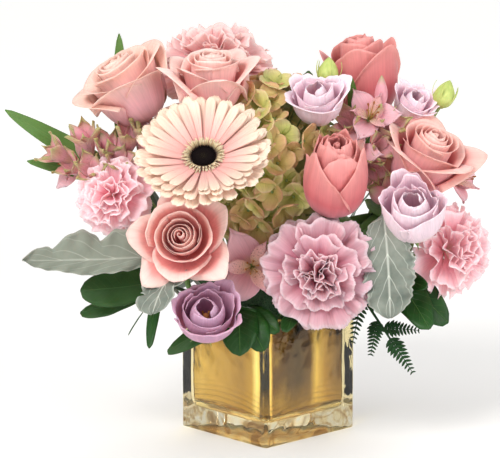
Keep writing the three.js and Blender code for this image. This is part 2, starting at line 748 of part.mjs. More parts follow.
function plainLeaf(base, { tip, side, width, bow }) {
  const half = (u) => 1 + (width / 2 - 1) * Math.abs(Math.sin(Math.PI * u)) ** 0.8;
  const surface = leafSurface(base, vector(tip), side, half, bow, 0.18);
  return solidOf(blade(surface, [0, 0.32, 0.7, 1], [-1, 0, 1], bothPointed));
}

// A silver leaf's edge runs in and out round its lobes.
function lobedLeaf(base, { tip, side, width, bow, lobes }) {
  const count = 2 * lobes + 1;
  const rows = Array.from({ length: count + 1 }, (_, i) => i / count);
  const half = (u) => {
    const body = 1.5 + (width / 2 - 1.5) * Math.sin(Math.PI * (0.1 + 0.78 * u)) ** 0.7;
    return body * (Math.round(u * count) % 2 ? 1 : 0.6);
  };
  return solidOf(blade(leafSurface(base, tip, side, half, bow, 0.12), rows, [-1, 0, 1], bothPointed));
}

// One side frond of a fern: a thin arched blade whose edge is cut into leaflets.
function leaflets(base, tip, side, width, count) {
  const rows = Array.from({ length: 2 * count + 1 }, (_, i) => i / (2 * count));
  const half = (u) => {
    const tooth = Math.round(u * 2 * count) % 2 ? 1 : Math.min(0.35, u);
    return 0.8 + (width / 2) * (1 - 0.8 * u) * tooth;
  };
  return solidOf(blade(leafSurface(base, tip, side, half, 2, 0), rows, [-1, 1], bothPointed));
}

function addSilverLeaf(name, leaf) {
  const base = vector(leaf.base);
  const tip = vector(leaf.tip);
  const neck = base.clone().lerp(tip, 0.06);
  plant(name, "silver", neck, null, 1.5, () => [lobedLeaf(base, { ...leaf, tip })]);
}

function addGreens(name, { end, leaves }) {
  const neck = vector(end);
  const inward = stemPivot.clone().sub(neck).normalize();
  const rooted = (leaf, i) => plainLeaf(neck.clone().addScaledVector(inward, 1 + 4 * i), leaf);
  plant(name, "leaf", neck, null, 1.6, () => leaves.map(rooted));
}

function addFern(name, { end, tip, side, reach, pairs }) {
  const neck = vector(end);
  const last = vector(tip);
  const along = last.clone().sub(neck);
  const across = vector(side).normalize();
  const flat = (way) => way.clone().normalize().cross(across.clone().cross(along).normalize()).toArray();
  const fronds = [tube([neck, neck.clone().addScaledVector(along, 0.62)], 1.2)];
  fronds.push(leaflets(neck.clone().addScaledVector(along, 0.55), last, flat(along), 17, 5));
  for (let i = 0; i < pairs; i++)
    for (const hand of [-1, 1]) {
      const base = neck.clone().addScaledVector(along, 0.08 + 0.3 * i + 0.05 * hand);
      const way = along.clone().normalize().multiplyScalar(0.75).addScaledVector(across, hand * 0.85);
      const end = base.clone().addScaledVector(way.normalize(), reach * (1 - 0.25 * i));
      fronds.push(leaflets(base, end, flat(way), 15, 4));
    }
  plant(name, "fern", neck, null, 1.3, () => fronds);
}

// ---------------------------------------------------------------- vase and foam
function roundedSquare(side, corner) {
  const half = side / 2;
  const shape = new THREE.Shape();
  shape.moveTo(half, -half + corner);
  for (const [x, y, from] of [[1, 1, 0], [-1, 1, 90], [-1, -1, 180], [1, -1, 270]]) {
    const centre = [x * (half - corner), y * (half - corner)];
    shape.absarc(...centre, corner, radians(from), radians(from + 90), false);
  }
  return shape;
}

function block(side, corner, low, high, bevel = 0) {
  const bevels = { bevelEnabled: bevel > 0, bevelSize: bevel, bevelThickness: bevel, bevelSegments: 1 };
  const options = { depth: high - low - 2 * bevel, curveSegments: 2, ...bevels };
  const geometry = new THREE.ExtrudeGeometry(roundedSquare(side - 2 * bevel, corner), options);
  return solidOf(geometry.translate(0, 0, low + bevel).rotateZ(radians(vase.turn)));
}

function addVase() {
  const outside = block(vase.side, vase.corner, 0, vase.height, 1);
  const inside = block(vase.side - 2 * vase.wall, vase.innerCorner, vase.floor, vase.height + 5);
  addPiece("vase", outside.subtract(inside), "glass");
}

function addFoam(holes) {
  const body = block(foam.side, 5, vase.floor + foam.gap, foam.top);
  addPiece("foam", body.subtract(holes), "foam");
}

// ---------------------------------------------------------------- the whole arrangement
const group = new THREE.Group();
const pieces = [];

function addPiece(name, solid, colour) {
  pieces.push(solid);
  const [color, roughness, metalness] = colours[colour];
  const material = new THREE.MeshStandardMaterial({ color, roughness, metalness });
  const mesh = new THREE.Mesh(geometryOf(solid), material);
  mesh.name = name;
  group.add(mesh);
}

addVase();
for (const [name, rose] of Object.entries(roses)) addRose(name, rose);
for (const [name, carnation] of Object.entries(carnations)) addCarnation(name, carnation);
addGerbera(gerbera);
for (const [name, bloom] of Object.entries(lisianthus)) addLisianthus(name, bloom);
for (const [name, spray] of Object.entries(alstroemerias)) addAlstroemeria(name, spray);
for (const [name, leaf] of Object.entries(silverLeaves)) addSilverLeaf(name, leaf);
for (const [name, leafy] of Object.entries(greens)) addGreens(name, leafy);
for (const [name, fern] of Object.entries(ferns)) addFern(name, fern);
addHydrangea();
spreadStems();
addFoam(growStems());

export default group;
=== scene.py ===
import random
from math import acos, atan2, cos, hypot, pi, radians, sin, sqrt
import bpy
import numpy as np
from mathutils.bvhtree import BVHTree
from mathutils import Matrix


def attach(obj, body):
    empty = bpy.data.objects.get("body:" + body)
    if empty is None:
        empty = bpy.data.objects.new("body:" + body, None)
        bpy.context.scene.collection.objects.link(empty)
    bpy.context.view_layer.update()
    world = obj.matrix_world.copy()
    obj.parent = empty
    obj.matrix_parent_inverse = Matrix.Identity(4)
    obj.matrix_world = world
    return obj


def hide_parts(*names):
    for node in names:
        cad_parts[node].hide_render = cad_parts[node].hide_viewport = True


# Table centerpiece: roses, carnations, a gerbera, hydrangea, lisianthus, alstroemeria and leaves
# in a gold-lined glass cube. Shapes are worked out in millimetres and scaled once, in Sheaf.piece.
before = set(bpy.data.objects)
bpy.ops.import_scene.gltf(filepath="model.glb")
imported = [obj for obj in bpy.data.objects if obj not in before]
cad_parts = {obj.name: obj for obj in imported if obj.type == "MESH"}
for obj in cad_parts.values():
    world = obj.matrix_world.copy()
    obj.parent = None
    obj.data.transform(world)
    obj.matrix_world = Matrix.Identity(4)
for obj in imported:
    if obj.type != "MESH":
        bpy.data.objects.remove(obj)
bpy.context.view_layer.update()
scene = bpy.context.scene


# camera and light, as in the photograph
view = dict(place=(-0.0145, -1.5803, 0.4136), tilt=9, lens=142.93, sensor=36, middle=(0, 0, 0.17))
lamps = {
    "key": dict(place=(-0.9, -1.5, 1.5), size=1.0, watts=36, tint=(1, 0.98, 0.95)),
    "fill": dict(place=(1.4, -1.3, 0.8), size=1.2, watts=13, tint=(1, 0.99, 0.98)),
    "back": dict(place=(0.4, 1.6, 1.5), size=1.2, watts=14, tint=(1, 1, 1)),
}
room = dict(glow=(1, 0.99, 0.98), strength=0.60)


def aimAt(thing, target):
    way = np.array(target) - np.array(thing.location)
    level = hypot(way[0], way[1])
    thing.rotation_euler = (atan2(level, -way[2]), 0, atan2(way[1], way[0]) - pi / 2)


lens = bpy.data.cameras.new("camera")
lens.lens = view["lens"]
lens.sensor_width = view["sensor"]
camera = bpy.data.objects.new("camera", lens)
camera.location = view["place"]
camera.rotation_euler = (radians(90 - view["tilt"]), 0, 0)
scene.collection.objects.link(camera)
scene.camera = camera
scene.view_settings.view_transform = "Standard"

for name, lamp in lamps.items():
    light = bpy.data.lights.new(name, "AREA")
    light.shape = "DISK"
    light.size = lamp["size"]
    light.energy = lamp["watts"]
    light.color = lamp["tint"]
    thing = bpy.data.objects.new(name, light)
    thing.location = lamp["place"]
    aimAt(thing, view["middle"])
    scene.collection.objects.link(thing)
print("camera and lamps")


# shader helpers: sums on a Wire add Math nodes
class Wire:
    def __init__(self, paint, socket):
        self.paint, self.socket = paint, socket

    def sum(self, operation, *values, clamp=False):
        settings = {"operation": operation, "use_clamp": clamp}
        return self.paint.add("Math", settings, dict(enumerate(values)))

    def __add__(self, other):
        return self.sum("ADD", self, other)

    def __sub__(self, other):
        return self.sum("SUBTRACT", self, other)

    def __rsub__(self, other):
        return self.sum("SUBTRACT", other, self)

    def __mul__(self, other):
        return self.sum("MULTIPLY", self, other)

    def __truediv__(self, other):
        return self.sum("DIVIDE", self, other)

    def __abs__(self):
        return self.sum("ABSOLUTE", self)

    def held(self):  # between 0 and 1
        return self.sum("ADD", self, 0.0, clamp=True)

    def wave(self):
        return self.sum("SINE", self)

    def part(self):  # what is left past the whole number
        return self.sum("FRACT", self)

    __radd__, __rmul__ = __add__, __mul__


class Paint:
    def __init__(self, name):
        self.material = bpy.data.materials.new(name)
        self.material.use_nodes = True
        self.tree = self.material.node_tree
        self.shader = next(n for n in self.tree.nodes if n.type == "BSDF_PRINCIPLED")

    def add(self, kind, settings, inputs, output=0):
        node = self.tree.nodes.new("ShaderNode" + kind)
        for key, value in settings.items():
            if key != "stops":
                setattr(node, key, value)
                continue
            while len(node.color_ramp.elements) < len(value):
                node.color_ramp.elements.new(1.0)
            for element, (place, colour) in zip(node.color_ramp.elements, value):
                element.position = place
                element.color = (*colour, 1)
        for key, value in inputs.items():
            self.feed(node.inputs[key], value)
        return Wire(self, node.outputs[output])

    def feed(self, socket, value):
        if isinstance(value, Wire):
            self.tree.links.new(value.socket, socket)
        elif socket.type == "RGBA":
            socket.default_value = (*value, 1) if len(value) == 3 else value
        else:
            socket.default_value = value

    def ramp(self, share, stops):
        return self.add("ValToRGB", {"stops": stops}, {0: share})

    def mixed(self, share, a, b, how="MIX"):
        settings = {"data_type": "RGBA", "blend_type": how}
        return self.add("Mix", settings, {0: share, 6: a, 7: b}, 2)

    def noise(self, where, scale, detail=3):
        inputs = {"Vector": where, "Scale": scale, "Detail": detail, "Roughness": 0.55}
        return self.add("TexNoise", {}, inputs)

    def place(self):
        return self.add("TexCoord", {}, {}, "Object")

    def axes(self, where):
        return [self.add("SeparateXYZ", {}, {0: where}, k) for k in range(3)]

    def marks(self):
        # the way along a petal, the way across it, its own tone, and 1 on its inner side
        mark = self.add("Attribute", {"attribute_name": "mark"}, {}, "Vector")
        return (*self.axes(mark), self.add("Attribute", {"attribute_name": "inner"}, {}, "Fac"))

    def vector(self, x, y, z):
        return self.add("CombineXYZ", {}, {0: x, 1: y, 2: z})

    def relief(self, height, strength, depth):
        inputs = {"Height": height, "Strength": strength, "Distance": depth}
        self.feed(self.shader.inputs["Normal"], self.add("Bump", {}, inputs))

    def wear(self, **values):
        for key, value in values.items():
            self.feed(self.shader.inputs[key.replace("_", " ")], value)
        return self.material


def rgb(*shade):
    # a colour as a screen shows it, 0 to 255, as light by the usual screen curve
    return tuple(((c / 255 + 0.055) / 1.055) ** 2.4 if c > 10 else c / 3295 for c in shade)


# finishes
def petalFinish(name, look):
    # tones: heart, body and rim from a petal's root to its edge, then its back and the back's root
    paint = Paint(name)
    u, v, tone, inner = paint.marks()
    heart, body, rim, back, backRoot = (rgb(*shade) for shade in look["tones"])
    front = paint.ramp(u, [(0.0, heart), (look.get("turn", 0.45), body), (0.97, rim)])
    colour = paint.mixed(inner, paint.ramp(u, [(0.05, backRoot), (0.5, back), (0.98, rim)]), front)
    fibres = v * look.get("veins", 7)
    streaks = paint.noise(paint.vector(fibres + tone * 40, u * 2.2, tone * 9), 1.0, 4)
    threads = paint.noise(paint.vector(fibres * 3.4 + tone * 70, u * 1.3, tone * 5), 1.0, 2)
    cloud = paint.noise(paint.place(), 55.0, 4)
    spread = look.get("spread", 0.14)  # how far petals differ in tone
    shade = 0.53 - spread / 2 + streaks * 0.34 + threads * 0.24 + cloud * 0.22 + tone * spread
    colour = paint.mixed(1.0, colour, paint.vector(shade, shade, shade), "MULTIPLY")
    if "edge" in look:
        thin = ((u - 0.93) * 14 + (streaks - 0.5) * 1.4).held()
        colour = paint.mixed(thin * look["edgeShare"], colour, look["edge"])
    if "blotch" in look:
        dabs = paint.noise(paint.vector(v * 5 + tone * 30, u * 16, tone * 5), 1.4, 2)
        colour = paint.mixed(((dabs - 0.60) * 16).held() * look["blotchShare"], colour, look["blotch"])
    paint.relief(streaks + threads * 0.5 + cloud * 0.5, look.get("relief", 0.5), 0.0006)
    # the petal also glows faintly in its own colour, as strongly as lift says: painted light that brightens
    # its shadows
    return paint.wear(
        Base_Color=colour, Roughness=0.50 + streaks * 0.2, Specular_IOR_Level=0.35,
        Subsurface_Weight=look.get("glow", 0.35), Subsurface_Scale=0.005, Subsurface_Radius=(1.0, 0.42, 0.34),
        Sheen_Weight=0.12, Sheen_Roughness=0.4,
        Emission_Color=colour, Emission_Strength=look.get("lift", 0.03))


def leafFinish(name, look):
    # tones: dark and light of the blade, its veins, its edge and its under side
    paint = Paint(name)
    u, v, tone, inner = paint.marks()
    dark, light, veinTone, edge, under = (rgb(*shade) for shade in look["tones"])
    side = abs(v)
    rib = (1 - side * look.get("rib", 22)).held()
    lines = ((u * look.get("lines", 9) - side * 2.1 + tone * 3).part() - 0.5) * 2
    vein = (1 - abs(lines) * 7).held() * (1 - side * 0.5)
    cloud = paint.noise(paint.place(), 70.0, 5)
    fine = paint.noise(paint.place(), 420.0, 2)
    body = paint.mixed((cloud * 1.5 - 0.35 + tone * 0.3).held(), dark, light)
    body = paint.mixed((rib * 0.75 + vein * look.get("veins", 0.28)).held(), body, veinTone)
    body = paint.mixed(((side - 0.88) * 8).held() * 0.5, body, edge)
    body = paint.mixed((1 - inner) * 0.55, body, under)
    paint.relief(rib * 0.9 + vein * 0.5 + cloud * 0.5 + fine * 0.15, 0.5, 0.0008)
    return paint.wear(
        Base_Color=body, Roughness=look["rough"] + cloud * 0.22, Specular_IOR_Level=look.get("gloss", 0.3),
        Coat_Weight=look.get("coat", 0.0), Coat_Roughness=0.3, Subsurface_Weight=0.06, Subsurface_Scale=0.002,
        Sheen_Weight=look.get("sheen", 0.0), Sheen_Roughness=0.5)


def stemFinish(name, look):
    paint = Paint(name)
    u, v, tone, inner = paint.marks()
    streaks = paint.noise(paint.vector(v * 6, u * 3, tone * 20), 1.6, 3)
    cloud = paint.noise(paint.place(), 90.0, 4)
    stops = [(0.2, look["dark"]), (0.8, look["light"])]
    body = paint.ramp((streaks * 0.6 + cloud * 0.7 - 0.15).held(), stops)
    if "tip" in look:
        body = paint.mixed(((u - look["start"]) * 3).held() * look["share"], body, look["tip"])
    paint.relief(streaks + cloud * 0.6, 0.4, 0.0006)
    return paint.wear(Base_Color=body, Roughness=0.42 + cloud * 0.25,
                      Subsurface_Weight=0.08, Subsurface_Scale=0.002)


def discFinish(name, look):
    paint = Paint(name)
    u = paint.marks()[0]
    speck = paint.noise(paint.place(), 700.0, 3)
    stops = [(0.1, look["middle"]), (0.45, look["ring"]), (0.95, look["rim"])]
    body = paint.ramp((u + (speck - 0.5) * 0.5).held(), stops)
    paint.relief(speck, 0.7, 0.0008)
    return paint.wear(Base_Color=body, Roughness=0.75 + speck * 0.2, Specular_IOR_Level=look["shine"])


def foamFinish(name, look):
    paint = Paint(name)
    where = paint.place()
    pores = paint.add("TexVoronoi", {}, {"Vector": where, "Scale": 900.0})
    cloud = paint.noise(where, 60.0, 5)
    body = paint.mixed((pores * 1.4 * cloud).held(), look["dark"], look["light"])
    paint.relief(pores + cloud, 0.8, 0.001)
    return paint.wear(Base_Color=body, Roughness=0.88 + cloud * 0.1)


def glassFinish(name, look):
    # clear, with dark and bright caustics painted into its foot; lamps shine through it onto the lining and
    # the floor
    paint = Paint(name)
    where = paint.place()
    x, y, z = paint.axes(where)
    smear = paint.noise(where, 18.0, 3)
    body = paint.mixed(smear, look["clear"], look["amber"])
    tall = {"Vector": paint.vector(x, y, z * 1.7), "Scale": 30.0, "Detail": 0.6, "Distortion": 1.1}
    # painted caustics: dark brown and bright amber streaks in the foot
    paintedCaustics = paint.ramp(paint.add("TexNoise", {}, tall), look["foot"])
    body = paint.mixed(((look["footTop"] - z) * 700).held(), body, paintedCaustics)
    paint.relief(paint.noise(where, 34.0, 2), 0.42, 0.005)
    paint.wear(Base_Color=body, Roughness=0.01 + smear * 0.02, Transmission_Weight=1.0, IOR=1.46,
               Specular_IOR_Level=0.5)
    shade = paint.add("BsdfTransparent", {}, {0: look["shade"]})
    shadow = paint.add("LightPath", {}, {}, "Is Shadow Ray")
    glass = Wire(paint, paint.shader.outputs[0])
    both = paint.add("MixShader", {}, {0: shadow, 1: glass, 2: shade})
    end = next(n for n in paint.tree.nodes if n.type == "OUTPUT_MATERIAL")
    paint.feed(end.inputs["Surface"], both)
    return paint.material


def goldFinish(name, look):
    # plated gold with painted reflections: light and dark upright stripes across the view that wander a
    # little, and a painted glint that glows along the brightest; paler patches, another gold near the floor
    # and darker lines along fine ripples there
    paint = Paint(name)
    where = paint.place()
    x, y, z = paint.axes(where)
    cloud = paint.noise(where, 22.0, 3)
    across = x / look["width"] + 0.5 + (cloud - 0.5) * 0.035 * (z * 12)
    # painted reflections: the colour follows the place across the view, pale and dark gold, bright highlights
    # and a black streak at the front corner
    body = paint.ramp(across.held(), look["bands"])
    low = (1.5 - z * 32).held()
    body = paint.mixed(low * 0.75, body, look["low"])
    arch = abs(x) * (0.07 - abs(x))
    lines = (z * 1500 - arch * 9700 + cloud * 8).wave()
    body = paint.mixed((low * (lines - 0.35) * 1.2).held() * 0.7, body, look["deep"])
    body = paint.mixed(((cloud - 0.56) * 5).held() * 0.4, body, look["pale"])
    paint.relief(lines * 0.3 * low + cloud * 0.6, 0.35, 0.0022)
    # painted glint: the lining glows along the brightest stripes, less near the floor
    glint = sum((1 - abs(across - spot) * narrow).held() for spot, narrow in look["glints"])
    paintedGlint = paint.mixed(glint * (1 - low * 0.5), (0.0, 0.0, 0.0), look["glint"])
    return paint.wear(Base_Color=body, Metallic=0.97 - cloud * 0.05, Roughness=look["rough"] + cloud * 0.12,
                      Emission_Color=paintedGlint, Emission_Strength=0.45)


def floorFinish(name, look):
    # lit from within away from the vase, so that it stays pale; under the glass it glows amber, painted light
    # in place of light coming through the glass
    paint = Paint(name)
    cloud = paint.noise(paint.place(), 3.0, 3)
    body = paint.mixed(cloud, look["sheet"], tuple(c * 0.97 for c in look["sheet"]))
    x, y, z = paint.axes(paint.place())
    away = x * x + y * y
    far = (away * 0.16 - 0.12).held()
    # painted light: an amber glow on the floor under the glass
    under = ((look["under"] - away) * 900).held()
    glow = paint.mixed(far, paint.mixed(under, (0.0, 0.0, 0.0), look["amber"]), look["sheet"])
    return paint.wear(Base_Color=body, Roughness=0.6 + cloud * 0.1,
                      Emission_Color=glow, Emission_Strength=0.48)


# lift: how strongly the petals glow in their own colour, painted light that brightens their shadows
petalLooks = {
    "rose": dict(
        tones=[(206, 92, 100), (244, 166, 162), (249, 208, 198), (240, 166, 168), (236, 190, 176)],
        turn=0.66, glow=0.22),
    "salmon": dict(
        tones=[(192, 78, 88), (226, 130, 134), (246, 192, 182), (224, 144, 154), (222, 150, 164)],
        turn=0.66, glow=0.22),
    "coral": dict(
        tones=[(146, 42, 58), (188, 82, 92), (230, 150, 146), (204, 100, 106), (216, 146, 158)],
        turn=0.6, glow=0.18),
    "mauveRose": dict(
        tones=[(244, 180, 154), (248, 206, 188), (248, 204, 190), (236, 168, 174), (210, 148, 156)],
        glow=0.22),
    "carnation": dict(
        tones=[(230, 110, 134), (247, 174, 186), (251, 206, 212), (250, 194, 202), (230, 200, 170)],
        edge=rgb(252, 220, 224), edgeShare=0.5, veins=16, turn=0.6, lift=0.09),
    "paleCarnation": dict(
        tones=[(136, 44, 70), (196, 118, 136), (214, 166, 176), (212, 160, 170), (206, 176, 160)],
        edge=rgb(236, 208, 214), edgeShare=0.6, veins=16, turn=0.6, lift=0.0, spread=0.5),
    "warmCarnation": dict(
        tones=[(226, 108, 122), (244, 170, 174), (248, 202, 200), (247, 190, 192), (232, 190, 166)],
        edge=rgb(249, 208, 202), edgeShare=0.5, veins=16, turn=0.6, lift=0.02),
    "gerbera": dict(
        tones=[(226, 142, 144), (241, 188, 178), (246, 220, 198), (242, 212, 184), (226, 176, 152)],
        turn=0.55, glow=0.10, relief=0.6, lift=0.03),
    "fringe": dict(
        tones=[(96, 70, 46), (212, 184, 140), (242, 222, 184), (200, 170, 140), (150, 116, 86)], veins=5),
    "hydrangea": dict(
        tones=[(152, 156, 58), (206, 200, 120), (218, 198, 146), (196, 188, 120), (152, 156, 74)],
        edge=rgb(208, 152, 130), edgeShare=0.5, veins=9, turn=0.55, glow=0.24),
    "pinkHydrangea": dict(
        tones=[(186, 168, 78), (206, 178, 114), (206, 160, 120), (202, 170, 116), (168, 154, 82)],
        edge=rgb(178, 104, 88), edgeShare=0.5, veins=9, turn=0.45, glow=0.24),
    "lisianthus": dict(
        tones=[(196, 118, 156), (238, 190, 212), (252, 226, 236), (248, 214, 226), (226, 216, 190)],
        veins=10, turn=0.4, glow=0.26),
    "mauveLisianthus": dict(
        tones=[(132, 66, 96), (182, 124, 156), (208, 164, 190), (196, 146, 174), (206, 184, 176)],
        veins=10, turn=0.45, glow=0.22),
    "halfOpen": dict(
        tones=[(190, 152, 122), (226, 160, 170), (170, 160, 104), (220, 152, 162), (170, 166, 106)],
        veins=8, turn=0.7, blotch=rgb(136, 62, 54), blotchShare=0.3),
    "alstroemeria": dict(
        tones=[(222, 186, 146), (226, 156, 168), (236, 184, 192), (216, 146, 156), (166, 158, 100)],
        veins=12, turn=0.35),
    "streaked": dict(
        tones=[(232, 206, 150), (232, 180, 172), (224, 162, 170), (214, 150, 156), (180, 166, 110)],
        veins=12, turn=0.5, blotch=rgb(112, 32, 40), blotchShare=0.85),
}
leafLooks = {
    "leaf": dict(
        tones=[(12, 46, 14), (34, 82, 26), (74, 116, 50), (24, 66, 22), (62, 98, 50)],
        rough=0.30, coat=0.08, gloss=0.28),
    "spear": dict(
        tones=[(40, 88, 28), (80, 132, 48), (126, 164, 82), (60, 108, 38), (106, 140, 76)],
        rough=0.38, coat=0.06, lines=3),
    "silver": dict(
        tones=[(84, 94, 86), (146, 152, 142), (204, 208, 198), (206, 210, 200), (140, 146, 132)],
        rough=0.80, sheen=0.1, rib=14, lines=5, gloss=0.2, veins=0.6),
    "fern": dict(
        tones=[(8, 36, 14), (22, 64, 24), (46, 86, 38), (14, 48, 18), (44, 74, 40)],
        rough=0.4, coat=0.04, rib=9, lines=6, gloss=0.22),
}
stemLooks = {
    "stem": dict(dark=rgb(58, 92, 40), light=rgb(112, 146, 74)),
    "paleStem": dict(dark=rgb(104, 132, 70), light=rgb(160, 178, 112)),
    "bud": dict(
        dark=rgb(158, 178, 84), light=rgb(206, 216, 132), tip=rgb(120, 150, 70), share=0.8, start=0.8),
    "budPink": dict(
        dark=rgb(206, 132, 146), light=rgb(230, 170, 178), tip=rgb(120, 150, 74), share=0.9, start=0.72),
}
discLooks = {
    "disc": dict(middle=rgb(44, 38, 26), ring=rgb(20, 12, 12), rim=rgb(14, 8, 10), shine=0.1),
    "stigma": dict(middle=rgb(196, 180, 90), ring=rgb(176, 120, 50), rim=rgb(150, 90, 50), shine=0.4),
}
foamLooks = {
    "foam": dict(dark=rgb(24, 52, 30), light=rgb(62, 98, 60)),
}
glassLooks = {
    "glass": dict(
        clear=(1.0, 0.90, 0.54), amber=(0.965, 0.79, 0.36), shade=(1.0, 0.93, 0.72), footTop=0.0195,
        # foot: the painted caustics, dark brown and bright amber
        foot=[
            (0.0, (0.24, 0.12, 0.04)), (0.37, (0.36, 0.20, 0.06)), (0.41, (0.94, 0.70, 0.32)),
            (0.46, (1.0, 0.93, 0.66)), (0.53, (1.0, 0.96, 0.76)), (0.57, (0.96, 0.74, 0.36)),
            (0.60, (0.42, 0.24, 0.08)), (0.64, (1.0, 0.84, 0.46)), (1.0, (1.0, 0.94, 0.70))]),
}
goldLooks = {
    "gold": dict(
        # glints: painted highlights, where each glows across the view and how narrow it is
        width=0.136, glints=[(0.446, 60), (0.498, 150)],
        # painted reflections across the view: gold tones, with bright highlights either side of a black
        # streak at the front corner
        bands=[
            (0.0, rgb(176, 150, 90)), (0.10, rgb(230, 212, 150)), (0.22, rgb(212, 188, 122)),
            (0.36, rgb(176, 148, 84)), (0.415, rgb(206, 180, 112)), (0.43, rgb(255, 250, 222)),
            (0.463, rgb(255, 246, 206)), (0.469, rgb(2, 1, 0)), (0.489, rgb(2, 1, 0)),
            (0.493, rgb(255, 244, 204)), (0.504, rgb(250, 230, 176)), (0.514, rgb(110, 84, 44)),
            (0.66, rgb(66, 50, 28)), (0.73, rgb(110, 86, 48)), (0.77, rgb(240, 224, 170)),
            (0.82, rgb(196, 168, 104)), (0.90, rgb(126, 100, 56)), (1.0, rgb(214, 188, 120))],
        low=rgb(196, 168, 100), deep=rgb(64, 44, 20), pale=rgb(248, 234, 184), glint=rgb(255, 244, 200),
        rough=0.05),
}
floorLooks = {
    # amber: the painted glow under the glass; under: the square of its reach in metres
    "floor": dict(sheet=(0.93, 0.93, 0.92), amber=(0.28, 0.18, 0.07), under=0.0024),
}
finish = {}
for makeFinish, looks in ((petalFinish, petalLooks), (leafFinish, leafLooks), (stemFinish, stemLooks),
                          (discFinish, discLooks), (foamFinish, foamLooks), (glassFinish, glassLooks),
                          (goldFinish, goldLooks), (floorFinish, floorLooks)):
    finish.update({name: makeFinish(name, look) for name, look in looks.items()})
print("finishes", len(finish))

world = bpy.data.worlds.new("room")
world.use_nodes = True
air = world.node_tree.nodes["Background"].inputs
air["Color"].default_value = (*room["glow"], 1)
air["Strength"].default_value = room["strength"]
scene.world = world


# small geometry helpers, in millimetres
def unit(a):
    a = np.asarray(a, float)
    return a / np.linalg.norm(a)


def lerp(a, b, share):
    return a + (b - a) * share


def frameOf(at, facing):
    # z faces outward, x runs to the bloom's right and y to its top
    z = unit(facing)
    x = unit(np.cross((0, 0, 1), z))
    return np.array(at, float), np.stack([x, np.cross(z, x), z])


def inFrame(points, place):
    at, axes = place
    return at + points @ axes


def cubic(points, t):
    a, b, c, d = (np.asarray(p, float) for p in points)
    t = np.asarray(t, float)[..., None]
    return a * (1 - t) ** 3 + 3 * b * t * (1 - t) ** 2 + 3 * c * t * t * (1 - t) + d * t ** 3


def spots(x, y, z):
    return np.stack(np.broadcast_arrays(x, y, z), -1)


def around(angle, r, z):
    return spots(r * np.cos(angle), r * np.sin(angle), z)


def grid(rows, columns):
    return np.meshgrid(np.linspace(0, 1, rows), np.linspace(-1, 1, columns), indexing="ij")


def rise(x, low, high):
    s = np.clip((x - low) / (high - low), 0, 1)
    return s * s * (3 - 2 * s)


def spun(sheet, angle):
    c, s = cos(angle), sin(angle)
    return sheet @ np.array([[c, s, 0], [-s, c, 0], [0, 0, 1]])


def onAxis(place, z):
    return inFrame(np.array([0, 0, z]), place)


def pushed(amount, way):
    # a step along one direction for each point of a grid
    return amount[..., None] * way


def ringMarks(sides, u, tone):
    return spots(u, np.linspace(-1, 1, sides), tone)


def profile(*pairs):
    return np.array(pairs, float)


